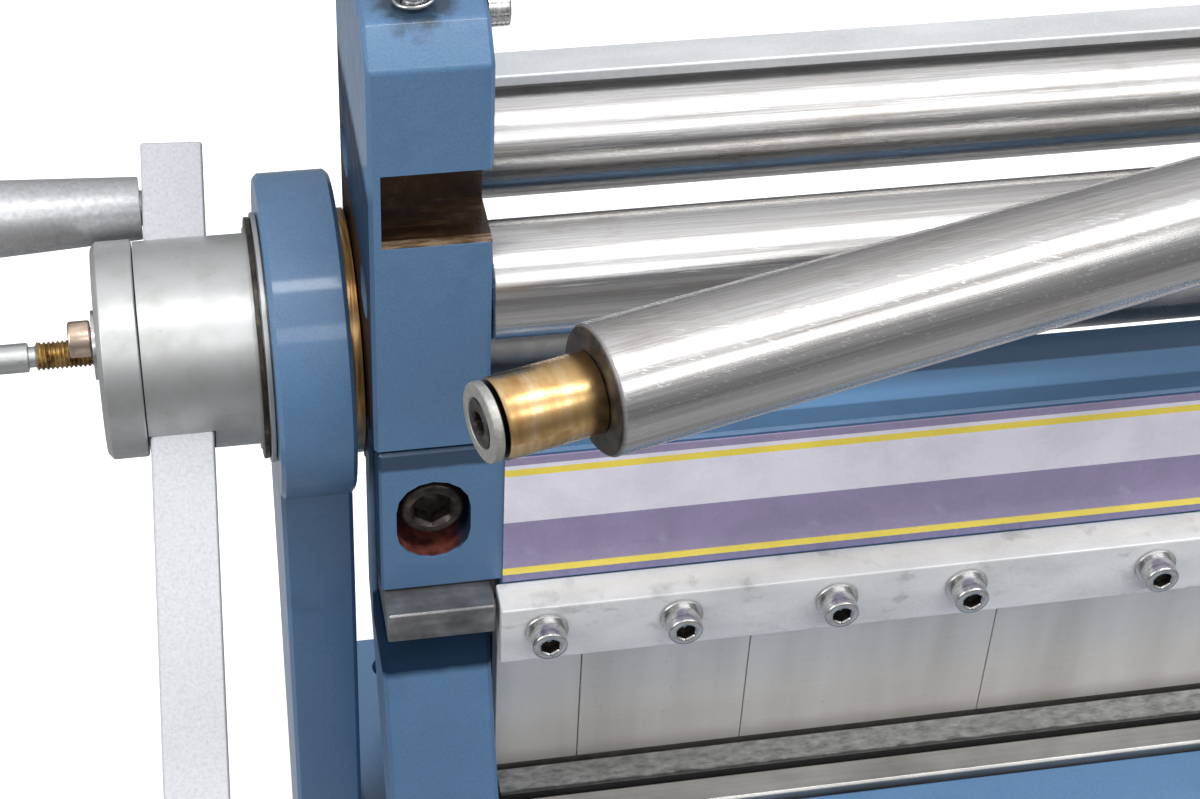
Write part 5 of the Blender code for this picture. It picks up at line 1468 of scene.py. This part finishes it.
    def knob(self, name: str, seat: Sequence[float], diameter: float, screw: float, drop: float) -> None:
        """A knurled knob on a downward screw.

        Args:
            name: node that it replaces.
            seat: underside of the knob.
            diameter: of the knob.
            screw: diameter of the screw.
            drop: how far the screw reaches below the knob.
        """
        radius, height, edge = diameter / 2, 0.012, 0.001
        points = [
            (-drop, screw / 2 - 0.0004), (-drop + 0.0004, screw / 2), (0.0, screw / 2),
            (0.0, radius - edge), (edge, radius), (height - edge, radius), (height, radius - edge),
            (height, radius * 0.5), (height - 0.0004, radius * 0.42),
        ]
        thread = Thread(-drop + 0.001, -0.0005, 0.001, 0.0004)
        knurl = Knurl(0.0012, 0.0108, 44, 0.0004)
        shape = turned(rings_of(points), seat, Axis.UP.value, 144, thread, knurl)
        self.add(name, shape, "zinc")

    def spring(self) -> None:
        """The spring round the left latch screw, as one smooth tube."""
        wire = 0.0012
        radius = (0.0112 - wire) / 2
        low, high = wire / 2, SPRING_HEIGHT - wire / 2
        dead, flat = 0.09, wire * 1.45
        turns, start = 6, math.radians(173)
        count = turns * 40
        centre = LATCH + Vector((0, 0, FIT))
        points = []
        for index in range(count + 1):
            share = index / count
            rise = min(max((share - dead) / (1 - 2 * dead), 0), 1)
            height = low + flat * min(share / dead, 1) + (high - low - 2 * flat) * rise
            height += flat * max((share - 1 + dead) / dead, 0)
            angle = start + math.tau * turns * share
            points.append(centre + Vector((radius * math.cos(angle), radius * math.sin(angle), height)))
        self.add("latch_spring", tube(points, wire / 2, 14), "plated", sharp=60)

    def crank(self) -> None:
        """Crank arm and its grip."""
        self.refine("crank_arm", "black_steel", 0.0004, 2, 30)
        start = (CRANK_X + FIT, LOWER_AXIS[0], LOWER_AXIS[1] + CRANK_RADIUS)
        length, radius, bore = 0.118, 0.013, 0.00435
        points = [
            (0, bore), (0, radius * 0.60), (0.002, radius * 0.68), (0.006, radius * 0.78),
            (length * 0.20, radius * 0.90), (length * 0.35, radius * 0.97), (length * 0.60, radius),
            (length * 0.75, radius * 0.97), (length * 0.85, radius * 0.90),
            (length - 0.006, radius * 0.77), (length - 0.001, radius * 0.66), (length, radius * 0.60),
            (length, 0.0067), (length - 0.0045, 0.0067), (length - 0.0045, bore),
        ]
        shape = turned(rings_of(points), start, Axis.RIGHT.value, 96, closed=True)
        self.add("crank_grip", shape, "plastic")

    def build(self) -> None:
        """Makes every piece."""
        self.castings()
        self.flat_steel()
        self.rolls()
        self.hub()
        self.lever()
        self.fasteners()
        self.crank()


def tube(points: Sequence[Vector], radius: float, sides: int) -> Solid:
    """A closed round tube along points.

    Args:
        points: the middle line.
        radius: of the tube.
        sides: faces round it.

    Returns:
        The solid.
    """
    shape = bmesh.new()
    rows = []
    for index, point in enumerate(points):
        before = points[max(index - 1, 0)]
        after = points[min(index + 1, len(points) - 1)]
        turn = (after - before).to_track_quat("Z", "Y").to_matrix()
        side = turn @ Vector((1, 0, 0)) * radius
        other = turn @ Vector((0, 1, 0)) * radius
        angles = [math.tau * step / sides for step in range(sides)]
        rows.append([shape.verts.new(point + side * math.cos(a) + other * math.sin(a)) for a in angles])
    for one, two in zip(rows, rows[1:]):
        shift = min(range(sides), key=lambda s: (one[0].co - two[s].co).length)
        two[:] = two[shift:] + two[:shift]
        skin(shape, one, two)
    shape.faces.new(list(reversed(rows[0])))
    shape.faces.new(rows[-1])
    return shape


@dataclass(frozen=True)
class Lamp:
    """A soft rectangular light, shifted sideways by shift."""

    name: str
    direction: tuple[float, float, float]
    distance: float
    shift: float
    size: tuple[float, float]
    power: float


class Studio:
    """Camera, floor, world and lights."""

    TARGET = Vector((-0.08, 0.06, 0.25))
    LAMPS = (
        Lamp("overhead", (0.0, -0.275, 0.961), 1.5, 0.72, (1.9, 0.20), 16.0),
        Lamp("behind_camera", (0.0, -0.765, 0.644), 1.9, 0.80, (2.2, 0.34), 9.5),
        Lamp("left_side", (-0.92, -0.25, 0.45), 1.5, 0.0, (1.0, 1.0), 9.0),
    )

    FLOOR_SIZE = 6.0
    FLOOR_Z = -0.0005
    FLOOR_GLOW = 0.35
    # Grey of the sky from straight below (0) to straight above (1)
    SKY = (
        *((0.0, 0.34), (0.165, 0.50), (0.35, 0.24), (0.46, 0.22)),
        *((0.54, 0.36), (0.66, 0.48), (0.84, 0.74), (1.0, 1.20)),
    )

    def camera(self) -> None:
        """Camera at the photograph's place and angle."""
        data = bpy.data.cameras.new("camera")
        data.lens = CAMERA_LENS
        data.sensor_width = 36.0
        data.clip_start = 0.01
        camera = new_object("camera", data)
        camera.location = CAMERA_PLACE
        camera.rotation_euler = CAMERA_TURN
        bpy.context.scene.camera = camera

    def lights(self) -> None:
        """Soft lights round the machine."""
        for lamp in self.LAMPS:
            data = bpy.data.lights.new(lamp.name, "AREA")
            data.shape = "RECTANGLE"
            data.size, data.size_y = lamp.size
            data.energy = lamp.power
            light = new_object(lamp.name, data)
            away = Vector(lamp.direction).normalized()
            light.location = self.TARGET + away * lamp.distance + Vector((lamp.shift, 0, 0))
            light.rotation_euler = away.to_track_quat("Z", "Y").to_euler()

    def world(self) -> None:
        """White to the camera, and a soft sky that darkens below the horizon for everything else."""
        world = bpy.data.worlds.new("studio")
        bpy.context.scene.world = world
        world.use_nodes = True
        tree = world.node_tree
        tree.nodes.clear()
        kinds = ("TexCoord", "SeparateXYZ", "Math", "ValToRGB", "Background", "Background", "LightPath")
        place, split, shift, ramp, sky, white, rays = (tree.nodes.new("ShaderNode" + kind) for kind in kinds)
        mix = tree.nodes.new("ShaderNodeMixShader")
        out = tree.nodes.new("ShaderNodeOutputWorld")
        shift.operation = "MULTIPLY_ADD"
        shift.inputs[1].default_value = shift.inputs[2].default_value = 0.5
        fill_ramp(ramp.color_ramp, [(height, (grey, grey, grey * 1.02)) for height, grey in self.SKY])
        white.inputs["Color"].default_value = (1, 1, 1, 1)
        for start, end in (
            (place.outputs["Generated"], split.inputs["Vector"]),
            (split.outputs["Z"], shift.inputs[0]),
            (shift.outputs[0], ramp.inputs["Fac"]),
            (ramp.outputs["Color"], sky.inputs["Color"]),
            (rays.outputs["Is Camera Ray"], mix.inputs["Fac"]),
            (sky.outputs["Background"], mix.inputs[1]),
            (white.outputs["Background"], mix.inputs[2]),
            (mix.outputs["Shader"], out.inputs["Surface"]),
        ):
            tree.links.new(start, end)

    def floor(self) -> None:
        """A plain pale floor that reads as white."""
        shape = bmesh.new()
        bmesh.ops.create_grid(shape, x_segments=1, y_segments=1, size=self.FLOOR_SIZE)
        bmesh.ops.translate(shape, vec=(0, 0, self.FLOOR_Z), verts=shape.verts)
        mesh = bpy.data.meshes.new("floor")
        shape.to_mesh(mesh)
        shape.free()
        finish = Finish("pale_floor")
        grain = finish.ramp(finish.noise(6, 3), [(0.3, 0.94), (0.7, 0.96)])
        finish.set(grain, 0.9)
        finish.shader.inputs["Emission Color"].default_value = (1, 1, 1, 1)
        finish.shader.inputs["Emission Strength"].default_value = self.FLOOR_GLOW
        mesh.materials.append(finish.material)
        floor = new_object("floor", mesh)
        floor.visible_glossy = False
        floor.visible_diffuse = False

    def build(self) -> None:
        """Sets the whole studio up."""
        bpy.context.scene.view_settings.view_transform = "Standard"
        self.camera()
        self.lights()
        self.world()
        self.floor()


def main() -> None:
    """Builds the looks."""
    logging.basicConfig(level=logging.INFO)
    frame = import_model()
    Studio().build()
    Machine(frame).build()


if __name__ == "__main__":
    main()
